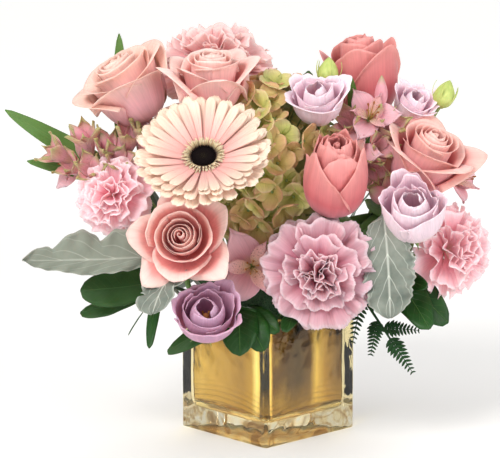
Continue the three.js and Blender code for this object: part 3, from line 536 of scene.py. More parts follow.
class Sheaf:
    # gathers thin blades, tubes and turned bodies of one finish into one piece
    def __init__(self):
        self.points, self.marks, self.inner, self.faces, self.count = [], [], [], [], 0

    def put(self, points, marks, inner, faces):
        self.points.append(points.reshape(-1, 3))
        self.marks.append(marks.reshape(-1, 3))
        self.inner.append(np.broadcast_to(inner, points.reshape(-1, 3).shape[:1]))
        self.faces.append(np.asarray(faces) + self.count)
        self.count += len(self.points[-1])

    def blade(self, sheet, thick=0.5, tone=0.5):
        # a closed thin blade about sheet[row, column]; its upper face is the petal's inner side
        rows, columns = sheet.shape[:2]
        along = np.gradient(sheet, axis=0)
        across = np.gradient(sheet, axis=1)
        along[0] += 0.3 * along[1]
        normal = np.cross(along, across)
        size = np.linalg.norm(normal, axis=-1, keepdims=True)
        normal = np.where(size > 1e-9, normal / np.maximum(size, 1e-9), normal[rows // 2, columns // 2])
        u, v = grid(rows, columns)
        half = (thick / 2) * (1 - 0.55 * np.maximum(np.abs(v) ** 6, u ** 6))[..., None]
        marks = spots(u, v, tone)
        at = np.arange(rows * columns).reshape(rows, columns)
        a, b, c, d = at[:-1, :-1], at[:-1, 1:], at[1:, 1:], at[1:, :-1]
        top = np.stack([a, d, c, b], -1).reshape(-1, 4)
        under = rows * columns
        low = np.stack([a, b, c, d], -1).reshape(-1, 4) + under
        rim = np.concatenate([at[0], at[1:, -1], at[-1, -2::-1], at[-2:0:-1, 0]])
        after = np.roll(rim, -1)
        side = np.stack([rim, after, after + under, rim + under], -1)
        points = np.stack([sheet + normal * half, sheet - normal * half])
        inner = np.repeat([1.0, 0.0], under)
        self.put(points, np.stack([marks, marks]), inner, np.concatenate([top, low, side]))

    def tube(self, path, radius, sides, tone=0.5):
        # path[k] with a radius for each k; closed at both ends
        path = np.asarray(path, float)
        radius = np.broadcast_to(radius, len(path))
        way = np.gradient(path, axis=0)
        way /= np.linalg.norm(way, axis=1, keepdims=True)
        x = unit(np.cross(way[0], (0.31, 0.9, 0.17)))
        rings, marks = [], []
        for k, (spot, ahead, r) in enumerate(zip(path, way, radius)):
            x = unit(x - ahead * np.dot(x, ahead))
            y = np.cross(ahead, x)
            angle = np.linspace(0, 2 * np.pi, sides, endpoint=False)[:, None]
            rings.append(spot + r * (x * np.cos(angle) + y * np.sin(angle)))
            marks.append(ringMarks(sides, k / (len(path) - 1), tone))
        self.rings(np.array(rings), np.array(marks))

    def rings(self, rings, marks):
        many, sides = rings.shape[:2]
        ends = np.stack([rings[0].mean(0), rings[-1].mean(0)])
        points = np.concatenate([rings.reshape(-1, 3), ends])
        marks = np.concatenate([marks.reshape(-1, 3), marks[[0, -1], 0]])
        at = np.arange(many * sides).reshape(many, sides)
        after = np.roll(at, -1, axis=1)
        faces = np.stack([at[:-1], after[:-1], after[1:], at[1:]], -1).reshape(-1, 4)
        last = np.full(sides, many * sides)
        caps = [np.stack([after[0], at[0], last, last], -1),
                np.stack([at[-1], after[-1], last + 1, last + 1], -1)]
        self.put(points, marks, 1.0, np.concatenate([faces, *caps]))

    def lathe(self, outline, place, sides, tone=0.5, shape=lambda angle, u: 1.0):
        # outline of (radius, height); shape makes it lobed or twisted
        angle = np.linspace(0, 2 * np.pi, sides, endpoint=False)
        rings, marks = [], []
        for k, (r, z) in enumerate(outline):
            u = k / (len(outline) - 1)
            rings.append(inFrame(around(angle, r * shape(angle, u), z), place))
            marks.append(ringMarks(sides, u, tone))
        self.rings(np.array(rings), np.array(marks))

    def take(self, other):
        # all that another sheaf holds
        self.faces += [f + self.count for f in other.faces]
        self.points += other.points
        self.marks += other.marks
        self.inner += other.inner
        self.count += other.count

    def piece(self, name, paint, slot, *nodes):
        corners = np.concatenate(self.faces)
        points = np.concatenate(self.points) * 0.001
        faces = [tuple(dict.fromkeys(f)) for f in corners.tolist()]
        mesh = bpy.data.meshes.new(name)
        mesh.from_pydata(points.tolist(), [], faces)
        mark = mesh.attributes.new("mark", "FLOAT_VECTOR", "POINT")
        mark.data.foreach_set("vector", np.concatenate(self.marks).astype(np.float32).ravel())
        inner = mesh.attributes.new("inner", "FLOAT", "POINT")
        inner.data.foreach_set("value", np.concatenate(self.inner).astype(np.float32))
        mesh.shade_smooth()
        mesh.materials.append(finish[paint])
        thing = bpy.data.objects.new(name, mesh)
        scene.collection.objects.link(thing)
        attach(thing, "root")
        if nodes:
            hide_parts(*nodes)
        return thing


# stems: every one points away from one spot in the foam, as the solids do
vase = dict(
    side=100, height=100, wall=6, floor=18, corner=3, innerCorner=7, turn=43.2, lining=0.15,
    liningThick=0.4)
foam = dict(side=84, corner=5, top=124)
stems = dict(reach=25, spread=0.55, apart=17, rimClearance=7, sweeps=400, knots=26)
stemPivot = np.array([0, 0, 82.0])
plants = []


def plant(name, neck, facing, radius, dress, paint="stem", slot="stem"):
    neck = np.asarray(neck, float)
    way = unit((neck - stemPivot) * (1, 1, stems["spread"]))
    plants.append({"name": name, "neck": neck, "facing": facing, "radius": radius, "dress": dress,
                   "paint": paint, "slot": slot, "way": way})


def lateral(way):
    turn = radians(vase["turn"])
    x = abs(way[0] * cos(turn) + way[1] * sin(turn))
    y = abs(way[1] * cos(turn) - way[0] * sin(turn))
    return max(x, y)


def clearRim(way):
    least = (vase["height"] + stems["rimClearance"] - stemPivot[2]) / (vase["side"] / 2) * lateral(way)
    way[2] = max(way[2], least)
    way /= np.linalg.norm(way)


def spreadStems():
    for p in plants:
        clearRim(p["way"])
    for again in range(stems["sweeps"]):
        for i in range(len(plants)):
            for j in range(i):
                a, b = plants[i]["way"], plants[j]["way"]
                lack = radians(stems["apart"]) - acos(max(-1.0, min(1.0, float(a @ b))))
                if lack <= 0:
                    continue
                push = unit(a - b) * lack * 0.3
                a += push
                a /= np.linalg.norm(a)
                b -= push
                b /= np.linalg.norm(b)
                clearRim(a)
                clearRim(b)


def growStems():
    for p in plants:
        way, neck, facing = p["way"], p["neck"], p["facing"]
        foot = stemPivot + way * stems["reach"]
        beyond = min((foam["top"] + 4 - stemPivot[2]) / way[2], (vase["side"] / 2 + 5) / lateral(way))
        leaves = stemPivot + way * beyond
        run = np.linalg.norm(neck - leaves)
        pull = (0.35 if facing is not None else 0.12) * run
        end = unit(facing) if facing is not None else unit(neck - leaves)
        bend = [leaves, leaves + way * pull, neck - end * pull, neck]
        bend = cubic(bend, np.linspace(0, 1, stems["knots"]))
        path = np.concatenate([[lerp(foot, leaves, k / 4) for k in range(4)], bend])
        knots = np.arange(len(path))
        radius = p["radius"] * (0.92 + 0.10 * np.exp(-((knots % 11) - 5.0) ** 2 / 0.8))  # swollen joints
        stem = Sheaf()
        stem.tube(path, radius, 12, tone=(len(p["name"]) % 7) / 7)
        p["dress"](stem, path)
        ending = "_form" if p["paint"] == "stem" else "_green"
        stem.piece(p["name"] + ending, p["paint"], p["slot"], p["name"])


# roses and lisianthus: nested petals, each on its own turned surface
outerCups = np.array([
    [[0.12, 0.02], [1.20, 0.02], [1.08, 0.62], [0.68, 0.98]],
    [[0.12, 0.05], [1.05, 0.02], [0.62, 0.8], [1.04, 0.84]],
    [[0.1, 0.05], [0.9, 0.0], [0.85, 0.62], [1.08, 0.4]],
])
plainCup = dict(uneven=0.0, tuck=0.0, star=0.0, crown=0.0, base=0.55, spin=0)


def cupPetals(sheaf, bloom, shape, place, seed):
    # a scroll in the middle, then petals from the tight heart out to the free ones that roll back
    dice = random.Random(seed)
    form = {**plainCup, **shape, **bloom}
    radius, tall, steps = form["radius"], form["height"], form["steps"]
    stage = min(1, int(form["open"] * 2))
    outer = lerp(outerCups[stage], outerCups[stage + 1], form["open"] * 2 - stage)
    outer = np.array(form.get("outer", outer)) * (radius, tall)
    heart = np.array(form["heart"]) * (radius, tall)
    u, v = grid(form["rows"], form["columns"])
    side = np.abs(v)
    if form["scroll"]:
        wind = (v + 1) / 2
        r = radius * lerp(0.012, form["scroll"], wind) * (1.25 - 0.35 * u)
        z = tall * (0.3 + 0.66 * u - 0.04 * wind)
        turn = radians(form["spin"]) + 2.9 * pi * wind
        sheaf.blade(inFrame(around(turn, r, z), place), 0.45, tone=dice.random())
    for i, t in enumerate(steps):
        gap = steps[i + 1] - t if i + 1 < len(steps) else t - steps[i - 1]
        free = rise(t, 0.45, 0.95) * lerp(0.3, 1.0, form["open"])
        half = radians(lerp(form["wrap"], form["hug"], t)) * dice.uniform(0.95, 1.05)
        lap = np.clip(t + form["spiral"] * v * min(gap, 0.06), 0, 1)[..., None]
        # the edge: uneven from petal to petal, drawn to a point in its middle, rounded at its corners
        deep = lerp(0.06, form["drop"], rise(t, 0.3, 0.9))
        uneven = form["uneven"] * (0.5 + 0.5 * sin(2.6 * i + 1)) * free
        point = form["point"] * free * (1 - np.exp(-(v / 0.28) ** 2))
        reach = dice.uniform(0.96, 1.0) - uneven - point - deep * side ** form["cut"]
        s = np.clip(u * (1 - (1 - reach) * u ** 1.5), 0, 1)
        rz = (1 - lap) * cubic(heart, s) + lap * cubic(outer, s)
        # waves, a fine crimp, the rolled lip and the corners that bend back
        phase = dice.uniform(0, 6.3)
        wave = form["wave"] * lerp(0.25, 1, t) * np.sin(form["waves"] * v + phase) * u ** 2
        wave = wave + 0.014 * np.sin(6 * u + 5 * v + phase) * np.sin(4 * v - 3 * u + 2 * phase) * u
        fine = form["crimp"] * (np.sin(11 * v + 2 * phase + 3 * u) + 0.6 * np.sin(23 * v + phase))
        fine = fine * u ** 4 * lerp(0.4, 1, t)
        lip = rise(u, 0.76, 1.0) ** 1.5 * t * form["lip"]
        back = free * rise(u, 0.45, 1.0) * side ** 2 * form["roll"]
        tuck = (1 - form["tuck"] * side ** 3) * (1 - form["star"] * free * side ** 1.2 * u ** 2)
        peak = form["tip"] * free * (1 - side) ** 1.3 * u ** 4
        r = rz[..., 0] * (1 + wave + fine) * tuck + radius * (lip + 0.08 * back + peak)
        dip = form["dip"] * lerp(0.3, 1, t) * np.sin(4.2 * v + phase) * u ** 3
        crown = form["crown"] * sin(pi * t) * u ** 2
        z = rz[..., 1] - tall * (0.8 * lip + 0.30 * back) + tall * (dip + 0.7 * fine + crown)
        spread = half * v * np.minimum(1, form["base"] + 0.7 * u) * (1 - 0.12 * back)
        angle = radians(form["turn"] * i + form["spin"] + dice.uniform(-5, 5)) + spread
        sheaf.blade(inFrame(around(angle, r, z), place), lerp(0.3, 0.45, t), tone=dice.random())


def bloomFrame(bloom):
    out = unit(bloom["facing"])
    return frameOf(np.array(bloom["at"]) - out * bloom["height"] / 2, bloom["facing"])


def sepals(sheaf, place, notch, reach, wide=0.34):
    # five pointed sepals that curl back round the top of the stem
    u, v = grid(9, 5)
    width = wide * reach * (1 - u) ** 0.8 * (0.5 + 0.9 * np.sin(np.pi * np.minimum(u + 0.25, 1)))
    z = -2.6 - (0.2 + 0.42 * reach) * u ** 1.4 - 0.18 * width * np.abs(v)
    sheet = spots(2.5 + reach * 0.92 * u, v * width, z)
    for k in range(5):
        sheaf.blade(inFrame(spun(sheet, 2 * pi * k / 5), place), 0.7, tone=k / 5)
    hip = profile((0.5, -8), (notch * 0.45, -7), (notch * 0.75, -4.5), (notch * 0.7, -2.4), (0.5, -1.5))
    sheaf.lathe(hip, place, 14)


openSteps = [
    0.08, 0.11, 0.14, 0.17, 0.20, 0.24, 0.28, 0.33, 0.38, 0.45, 0.54, 0.64, 0.74, 0.83, 0.89, 0.93, 0.965,
    1.0]
budSteps = [0.12, 0.19, 0.27, 0.36, 0.46, 0.56, 0.66, 0.76, 0.86, 0.94, 1.0]
flared = [[0.12, 0.05], [0.90, 0.0], [0.52, 0.72], [1.02, 0.88]]
roseShape = dict(
    steps=openSteps, heart=[[0.06, 0.24], [0.3, 0.4], [0.26, 0.8], [0.05, 1]], scroll=0.13, turn=137.5,
    rows=17, columns=27, wrap=112, hug=70, spiral=1.0, drop=0.20, cut=2.2, point=0.09, wave=0.05, waves=3.0,
    lip=0.06, dip=0.03, roll=1.0, crimp=0.006, tip=0.05)
roses = {
    "rose_front": dict(
        at=(-66, -92, 171), facing=(-0.10, -0.94, 0.33), radius=37, height=40, open=1, paint="rose",
        heart=[[0.06, 0.1], [0.2, 0.3], [0.17, 0.6], [0.04, 0.78]], crown=0.26, drop=0.42, cut=1.3, hug=58,
        tip=0.26, star=0.24, uneven=0.15, crimp=0.016, spin=52),
    "rose_bud": dict(
        at=(50, -82, 217), facing=(0.04, -0.45, 0.89), radius=26, height=68, open=0, paint="coral",
        steps=budSteps, heart=[[0.06, 0.24], [0.5, 0.4], [0.52, 0.8], [0.16, 1.0]], drop=0.56, cut=1.6,
        hug=92, base=0.85, roll=0.1, tuck=0.12, crimp=0.04, spin=43.75),
    "rose_top_left": dict(
        at=(-108, -28, 279), facing=(-0.52, -0.22, 0.82), radius=41, height=60, open=0.6, paint="mauveRose",
        outer=flared, drop=0.16, cut=2.6, hug=76, roll=0.6, lip=0.10, tip=0.10, spin=70),
    "rose_top_middle": dict(
        at=(-44, -44, 286), facing=(0, -0.24, 0.97), radius=36, height=50, open=0.75, paint="rose",
        outer=flared, drop=0.3, cut=1.5, hug=66, tip=0.16, star=0.12, lip=0.10, spin=20),
    "rose_top_right": dict(
        at=(76, 14, 286), facing=(-0.12, -0.06, 0.99), radius=33, height=70, open=0.3, paint="coral",
        steps=budSteps, drop=0.42, cut=1.3, hug=84, base=0.85, roll=0.6, tuck=0.08, tip=0.16, spin=75),
    "rose_right": dict(
        at=(121, -42, 224), facing=(0.34, -0.42, 0.84), radius=37, height=58, open=0.62, paint="salmon",
        outer=flared, drop=0.20, cut=2.2, hug=72, roll=0.8, lip=0.10, tip=0.12, spin=150),
    "rose_back_left": dict(
        at=(-72, 76, 226), facing=(-0.45, 0.75, 0.48), radius=36, height=48, open=0.7, paint="rose"),
    "rose_back_right": dict(
        at=(76, 80, 208), facing=(0.45, 0.8, 0.4), radius=34, height=48, open=0.6, paint="coral"),
}
slots = {"rose": "rose_petal", "mauveRose": "rose_petal", "coral": "coral_petal", "salmon": "coral_petal"}
for seed, (name, rose) in enumerate(roses.items()):
    place = bloomFrame(rose)
    petals = Sheaf()
    cupPetals(petals, rose, roseShape, place, seed)
    petals.piece(name + "_petals", rose["paint"], slots[rose["paint"]], name)
    dress = lambda stem, path, place=place: sepals(stem, place, 7, 22)
    plant(name + "_stem", onAxis(place, -0.35), unit(rose["facing"]), 2.4, dress)
print("roses", len(roses))


# carnations: layers of fan-shaped petals with ruffled, toothed edges. Each layer is the lean in
# degrees, how many petals, their share of the radius and how high they start
wideLayers = [
    (5, 3, 0.50, 13), (20, 5, 0.54, 11), (37, 6, 0.60, 9), (55, 6, 0.76, 7), (73, 7, 1.0, 5),
    (88, 7, 1.03, 3)]
topLayers = [
    (8, 4, 0.62, 12), (24, 6, 0.70, 10), (42, 6, 0.80, 8), (60, 7, 0.92, 6), (76, 8, 1.0, 4),
    (90, 8, 1.03, 3)]
roundLayers = [
    (6, 3, 0.80, 11), (20, 5, 0.86, 9), (36, 6, 0.92, 7.5), (53, 6, 0.98, 6), (71, 7, 1.0, 4.5),
    (88, 6, 1.0, 3)]
carnationShape = dict(
    fan=36, ruffle=0.10, rows=12, columns=41,
    waves=[(3.0, 0.8, 1.2), (6.5, 0.75, 1.5), (12.0, 0.36, 1.9), (24.0, 0.10, 4)])
carnations = {
    "carnation_top": dict(
        at=(-42, 26, 304), facing=(0.03, -0.2, 0.98), radius=50, paint="warmCarnation", layers=topLayers),
    "carnation_left": dict(at=(-122, -56, 199), facing=(-0.4, -0.88, 0.15), radius=32, paint="carnation"),
    "carnation_right": dict(at=(148, -36, 153), facing=(0.8, -0.55, 0.2), radius=39, paint="carnation"),
    "carnation_front": dict(
        at=(38, -98, 144), facing=(-0.02, -0.99, 0.08), radius=44, paint="paleCarnation",
        layers=wideLayers),
    "carnation_back": dict(at=(0, 98, 168), facing=(0, 0.97, 0.2), radius=38, paint="carnation"),
}


def ruffledPetal(lean, turn, reach, apex, shape, dice):
    u, v = grid(shape["rows"], shape["columns"])
    crumple = 1 - sin(min(lean, pi / 2)) * 0.55
    fan = np.radians(shape["fan"]) * dice.uniform(0.85, 1.15) * v * np.minimum(1, 0.30 + 1.1 * u)
    out = around(turn, sin(lean), cos(lean))
    level = np.array([-sin(turn), cos(turn), 0])
    roll = dice.uniform(-0.6, 0.6) * crumple
    side = level * cos(roll) + np.cross(out, level) * sin(roll)
    up = np.cross(out, side)
    teeth = 0.024 * np.abs(((v * 10 + dice.random()) % 1) * 2 - 1)
    teeth = teeth + 0.045 * np.sin(dice.uniform(7, 12) * v + dice.uniform(0, 6))
    far = reach * u * (1 + np.where(u > 0.82, teeth, 0)) * (1 - 0.12 * v ** 4)
    wave = sum(size * np.sin(pace * dice.uniform(0.8, 1.25) * v + dice.uniform(0, 6.3)) * u ** grow
               for pace, size, grow in shape["waves"])
    lift = reach * shape["ruffle"] * (0.55 + 0.75 * crumple) * wave - reach * 0.09 * u ** 3
    sheet = pushed(far * np.cos(fan), out) + pushed(far * np.sin(fan), side) + pushed(lift, up)
    return sheet + (0, 0, apex)


def calyx(sheaf, place):
    cup = [(2, -24), (3.2, -22), (4.6, -16.8), (5.6, -10.8), (6, -4.8), (6.2, -0.5), (4.5, 0.6), (1, 1)]
    sheaf.lathe(cup, place, 20, shape=lambda angle, u: 1 + 0.05 * np.cos(5 * angle) * u)
    u, v = grid(6, 3)
    for k in range(5):
        angle = 2 * pi * (k + 0.5) / 5 + 0.5 * v * (1 - u)
        sheaf.blade(inFrame(around(angle, 6.2 + 1.3 * u ** 2, -3 + 7 * u), place), 0.6)


for seed, (name, bloom) in enumerate(carnations.items()):
    dice = random.Random(40 + seed)
    out = unit(bloom["facing"])
    place = frameOf(np.array(bloom["at"]) - out * 0.35 * bloom["radius"], bloom["facing"])
    petals = Sheaf()
    for layer, (lean, many, share, apex) in enumerate(bloom.get("layers", roundLayers)):
        for k in range(many):
            turn = 2 * pi * (k + 0.5 * (layer % 2) + dice.uniform(-0.12, 0.12)) / many + 0.4 * layer
            reach = bloom["radius"] * share * dice.uniform(0.9, 1.03)
            tilt = radians(lean + dice.uniform(-7, 7))
            sheet = ruffledPetal(tilt, turn, reach, apex * 0.5, carnationShape, dice)
            petals.blade(inFrame(sheet, place), 0.45, tone=dice.random() * 0.7 + 0.3 * lean / 98)
    petals.piece(name + "_petals", bloom["paint"], "carnation_petal", name)
    dress = lambda stem, path, place=place: calyx(stem, place)
    plant(name + "_stem", onAxis(place, -22.0), out, 2, dress, "paleStem")
print("carnations", len(carnations))


# gerbera: ridged strap petals, a fringe and a dark disc of tiny florets. Each ring is how many
# petals, their share of the radius, their lift in degrees and their height
gerbera = dict(
    at=(-49, -96, 230), facing=(-0.06, -0.70, 0.71), radius=55.5, disc=11.3, root=6.0,
    rings=[(30, 1.0, 17, 0), (28, 0.96, 22, 0.9), (25, 0.90, 26, 1.7)], width=10.2, fringe=210, florets=190,
    bracts=26)


def strapPetal(length, width, lift, height, dice):
    u, v = grid(16, 11)
    rounded = np.sqrt(np.clip(1 - (np.maximum(u - 0.88, 0) / 0.125) ** 2, 0, 1))
    half = width / 2 * (0.40 + 0.60 * rise(u, 0.05, 0.8)) * rounded
    root = gerbera["root"]
    reach = root + (length - root) * u * (1 + 0.012 * np.cos(6.3 * v))
    bend = radians(lift) + dice.uniform(-0.05, 0.05)
    sag = dice.uniform(-0.03, 0.04)
    groove = 0.30 * np.cos(9.4 * v) - 0.9 * v ** 2 * (1 - 0.4 * u)
    groove = groove * rise(u, 0.0, 0.3) * (1 - 0.5 * rise(u, 0.9, 1))
    z = height - 2 + reach * sin(bend) - sag * length * u ** 3 + groove
    twist = dice.uniform(-0.12, 0.12) * half * v * u
    return spots(reach * cos(bend), half * v, z + twist)


dice = random.Random(71)
place = frameOf(gerbera["at"], gerbera["facing"])
petals, fringe, disc = Sheaf(), Sheaf(), Sheaf()
for ring, (many, share, lift, height) in enumerate(gerbera["rings"]):
    for k in range(many):
        length = gerbera["radius"] * share * dice.uniform(0.94, 1.0)
        sheet = strapPetal(length, gerbera["width"] * (1 - 0.12 * ring), lift, height, dice)
        angle = 2 * pi * (k + 0.5 * ring + dice.uniform(-0.13, 0.13)) / many
        petals.blade(inFrame(spun(sheet, angle), place), 0.6, tone=dice.random())
for k in range(gerbera["fringe"]):
    u, v = grid(6, 3)
    ring = k % 3
    length = 8.4 - 1.6 * ring + dice.uniform(-1.4, 1.2)
    r = gerbera["disc"] * (0.97 - 0.05 * ring) + length * u * 0.9
    z = 4.0 + 1.2 * ring + length * (0.34 + 0.16 * ring) * np.sin(1.9 * u)
    width = 0.62 * np.sqrt(np.clip(1.02 - u ** 3, 0, 1))
    angle = 2 * pi * k / gerbera["fringe"] + dice.uniform(-0.08, 0.08)
    sheet = spun(spots(r, width * v, z + 0.2 * v ** 2), angle)
    fringe.blade(inFrame(sheet, place), 0.4, tone=dice.random())
golden = pi * (3 - sqrt(5))
rimSize = gerbera["disc"] * 0.85
dome = profile((0.6, 5.36), (0.97, 5.5), (1, 6.6), (0.9, 7.3), (0.6, 7.5), (0.3, 7.2)) * (rimSize, 1)
disc.lathe([*dome, (0.4, 7.0)], place, 28)
for k in range(gerbera["florets"]):
    share = sqrt((k + 0.5) / gerbera["florets"])
    way = around(golden * k, 1, 0)
    tall = 0.55 + 0.75 * share ** 3
    spot = inFrame(way * (rimSize - 0.5) * share + (0, 0, 6.9 + 0.4 * share), place)
    lean = unit(place[1][2] + 0.35 * share * (way @ place[1]))
    disc.tube([spot, spot + lean * tall * 0.7, spot + lean * tall], [0.46, 0.42, 0.16], 5, tone=dice.random())
    disc.marks[-1][:, 0] = share
petals.piece("gerbera_petals", "gerbera", "gerbera_petal", "gerbera")
fringe.piece("gerbera_fringe", "fringe", "gerbera_petal", "gerbera")
disc.piece("gerbera_florets", "disc", "gerbera_disc", "gerbera_disc")


def involucre(stem, path, place=place):
    cup = [(2, -15), (4, -14), (6.5, -11), (8.5, -8), (9, -5.5), (6, -4.6)]
    stem.lathe(cup, place, 24, shape=lambda angle, u: 1 + 0.03 * np.cos(12 * angle))
    u, v = grid(6, 3)
    many = gerbera["bracts"]
    for k in range(many):
        sheet = spots(5 + 5 * u ** 0.8, 1.3 * v * (1 - u) ** 0.6, -12.5 + 2 * (k % 2) + 7 * u)
        stem.blade(inFrame(spun(sheet, 2 * pi * k / many), place), 0.5, tone=(k % 5) / 5)


plant("gerbera_stem", onAxis(place, -12.0), unit(gerbera["facing"]), 2.6, involucre)
print("gerbera")


# lisianthus: ruffled cups with a small green and ochre middle; a bud is its start, end and radius
lisianthusShape = dict(
    steps=[0.08, 0.18, 0.30, 0.43, 0.58, 0.72, 0.86, 0.94, 1.0],
    heart=[[0.06, 0.1], [0.45, 0.3], [0.42, 0.75], [0.10, 0.97]], scroll=0, turn=137.5, rows=16, columns=41,
    wrap=100, hug=80, spiral=0.8, drop=0.12, cut=3.0, tip=0.0, point=0.0, wave=0.17, waves=4.8, lip=0.05,
    dip=0.10, roll=0.4, crimp=0.040)
lisianthus = {
    "lisianthus_front": dict(
        at=(-48, -98, 112), facing=(0.04, -0.70, 0.71), radius=28, height=30, open=0.36, wave=0.09,
        paint="mauveLisianthus", spin=30, buds=[]),
    "lisianthus_right": dict(
        at=(110, -78, 188), facing=(-0.1, -0.72, 0.69), radius=27, height=46, open=0.25, spin=80, buds=[]),
    "lisianthus_top": dict(
        at=(38, -42, 270), facing=(-0.1, -0.6, 0.79), radius=24, height=36, open=0.45,
        buds=[((46, -18, 280), (48, -16, 303), 6)]),
    "lisianthus_top_right": dict(
        at=(114, -10, 264), facing=(0.35, -0.6, 0.72), radius=19, height=30, open=0.5,
        buds=[((136, -10, 262), (144, -8, 284), 6)]),
}


def budForm(sheaf, start, end, radius, lobes=5, twist=2.4):
    # a closed bud whose petals wind round each other
    start, end = np.array(start, float), np.array(end, float)
    length = np.linalg.norm(end - start)
    share = np.linspace(0, 1, 16)
    outline = zip(radius * np.sin(np.pi * share ** 0.75) ** 0.8 * 0.98 + 0.25, length * share)
    shape = lambda angle, u: 1 + 0.07 * np.abs(np.sin(lobes * (angle + twist * u) / 2)) - 0.05
    sheaf.lathe(list(outline), frameOf(start, end - start), 26, shape=shape)


def budSepals(sheaf, start, end, radius):
    # thin pointed sepals that stand off the bud
    start, end = np.array(start, float), np.array(end, float)
    place, length = frameOf(start, end - start), np.linalg.norm(end - start)
    u, v = grid(9, 3)
    for k in range(5):
        r = 1.2 + radius * 1.02 * np.sin(np.pi * np.minimum(u * 0.78, 1)) ** 0.8 + 2.5 * u ** 3
        sheet = spots(r, 1.5 * v * (1 - u) ** 0.7, length * 0.86 * u)
        sheaf.blade(inFrame(spun(sheet, 2 * pi * k / 5), place), 0.5, tone=k / 5)


def stalkFrom(sheaf, fork, spot, radius=1.3, bow=3.0):
    fork, spot = np.array(fork, float), np.array(spot, float)
    share = np.linspace(0, 1, 12)[:, None]
    path = lerp(fork, spot, share) + np.array([0, 0, -bow]) * np.sin(np.pi * share)
    sheaf.tube(path, radius, 9)


for seed, (name, bloom) in enumerate(lisianthus.items()):
    place = bloomFrame(bloom)
    petals, middle = Sheaf(), Sheaf()
    cupPetals(petals, bloom, lisianthusShape, place, 90 + seed)
    petals.piece(name + "_petals", bloom.get("paint", "lisianthus"), "lisianthus_petal", name)
    tall = bloom["height"]
    middle.lathe(profile((2.6, 0.1), (3.4, 0.3), (2.2, 0.42), (2.8, 0.5), (1.2, 0.56)) * (1, tall), place, 14)
    for angle in np.arange(6) * pi / 3:
        foot, top = around(angle, 2, tall * 0.15), around(angle, 5.2, tall * 0.5)
        path = inFrame(np.array([foot, lerp(foot, top, 0.6), top * 0.96, top]), place)
        middle.tube(path, [0.35, 0.35, 1.0, 0.5], 6)
    middle.piece(name + "_middle", "stigma", "lisianthus_petal", name)

    buds = Sheaf()
    for start, end, radius in bloom["buds"]:
        budForm(buds, start, end, radius + 2.5)
        budSepals(buds, start, end, radius + 2.5)
    if buds.count:
        buds.piece(name + "_buds", "bud", "lisianthus_petal", name + "_stem")

    def dress(stem, path, place=place, buds=bloom["buds"]):
        sepals(stem, place, 4, 13, 0.22)
        for start, end, radius in buds:
            ahead = unit(np.subtract(end, start))
            stalkFrom(stem, path[16], np.array(start) + ahead * 2)

    plant(name + "_stem", onAxis(place, -0.35), unit(bloom["facing"]), 1.7, dress, "paleStem")
print("lisianthus", len(lisianthus))


# alstroemeria: three broad tepals and three narrow, streaked ones round fine stamens. A flower is
# its place, facing and radius, a trumpet its two ends, a leaf its tip, side, width and bow
alstroemerias = {
    "alstroemeria_left": dict(
        fork=(-112, -2, 206),
        flowers=[((-157, -17, 221), (-0.75, -0.55, 0.3), 24), ((-87, -52, 238), (-0.2, -0.8, 0.55), 20)],
        buds=[((-140, -28, 232), (-156, -36, 252), 6), ((-123, -30, 228), (-131, -42, 246), 5)],
        trumpets=[
            ((-112, -34, 222), (-106, -50, 256)), ((-150, -24, 218), (-178, -36, 236)),
            ((-104, -30, 214), (-84, -46, 250)), ((-130, -26, 216), (-122, -50, 246)),
            ((-138, -28, 222), (-146, -44, 254)), ((-122, -36, 212), (-114, -62, 234)),
            ((-144, -22, 208), (-162, -42, 226)), ((-102, -26, 224), (-94, -46, 262)),
            ((-134, -34, 206), (-140, -62, 226))],
        leaves=[
            ((-207, -26, 262), (0.3, 0.35, 0.9), 17, 6), ((-190, -28, 222), (0.3, 0.35, 0.9), 13, 4),
            ((-120, 22, 319), (0.9, 0.3, 0.1), 15, 6)]),
    "alstroemeria_top": dict(
        fork=(72, -8, 228),
        flowers=[((80, -44, 262), (0.1, -0.85, 0.5), 22), ((66, -50, 232), (-0.35, -0.8, 0.5), 20)],
        buds=[((88, -30, 264), (88, -36, 290), 5)], leaves=[((64, -34, 290), (0.9, 0.1, -0.3), 11, 3)],
        trumpets=[
            ((74, -22, 238), (56, -44, 262)), ((82, -22, 236), (100, -48, 260)),
            ((80, -26, 228), (92, -56, 238)), ((72, -26, 226), (84, -58, 212))]),
    "alstroemeria_middle": dict(
        fork=(-6, -46, 136), flowers=[((-13, -72, 145), (0, -0.98, 0.15), 30)], buds=[], leaves=[]),
    "alstroemeria_right": dict(
        fork=(108, -12, 176), flowers=[((156, -8, 207), (0.75, -0.5, 0.45), 21)],
        buds=[((92, -42, 194), (78, -62, 204), 7)],
        leaves=[
            ((66, -60, 168), (0.2, 0.3, 0.9), 20, 4), ((84, -62, 152), (0.7, 0.3, 0.5), 20, 4),
            ((74, -66, 196), (0.1, 0.4, 0.9), 12, 5), ((34, -84, 172), (0.1, 0.3, 0.9), 16, 6)],
        trumpets=[((104, -26, 186), (96, -58, 206)), ((108, -22, 184), (92, -52, 222))]),
}


def tepal(radius, base, reach, lean, wide, dice):
    u, v = grid(14, 9)
    form = np.sin(np.pi * np.clip(u * 0.86 + 0.10, 0, 1)) ** 0.9
    far = radius * reach * u * (1 - 0.16 * v ** 2 * u)
    tilt = np.radians(lean) * (0.55 + 0.45 * u) + 0.05 * np.sin(3 * v + dice.uniform(0, 6)) * u
    angle = np.radians(wide) * v * form / np.maximum(0.35, 0.35 + 0.65 * u)
    angle = angle * (1 - rise(u, 0.86, 1.0) * 0.85)
    r, z = far * np.sin(tilt), base + far * np.cos(tilt) + 0.06 * radius * v ** 2 * u
    return around(angle, r + 0.6, z)


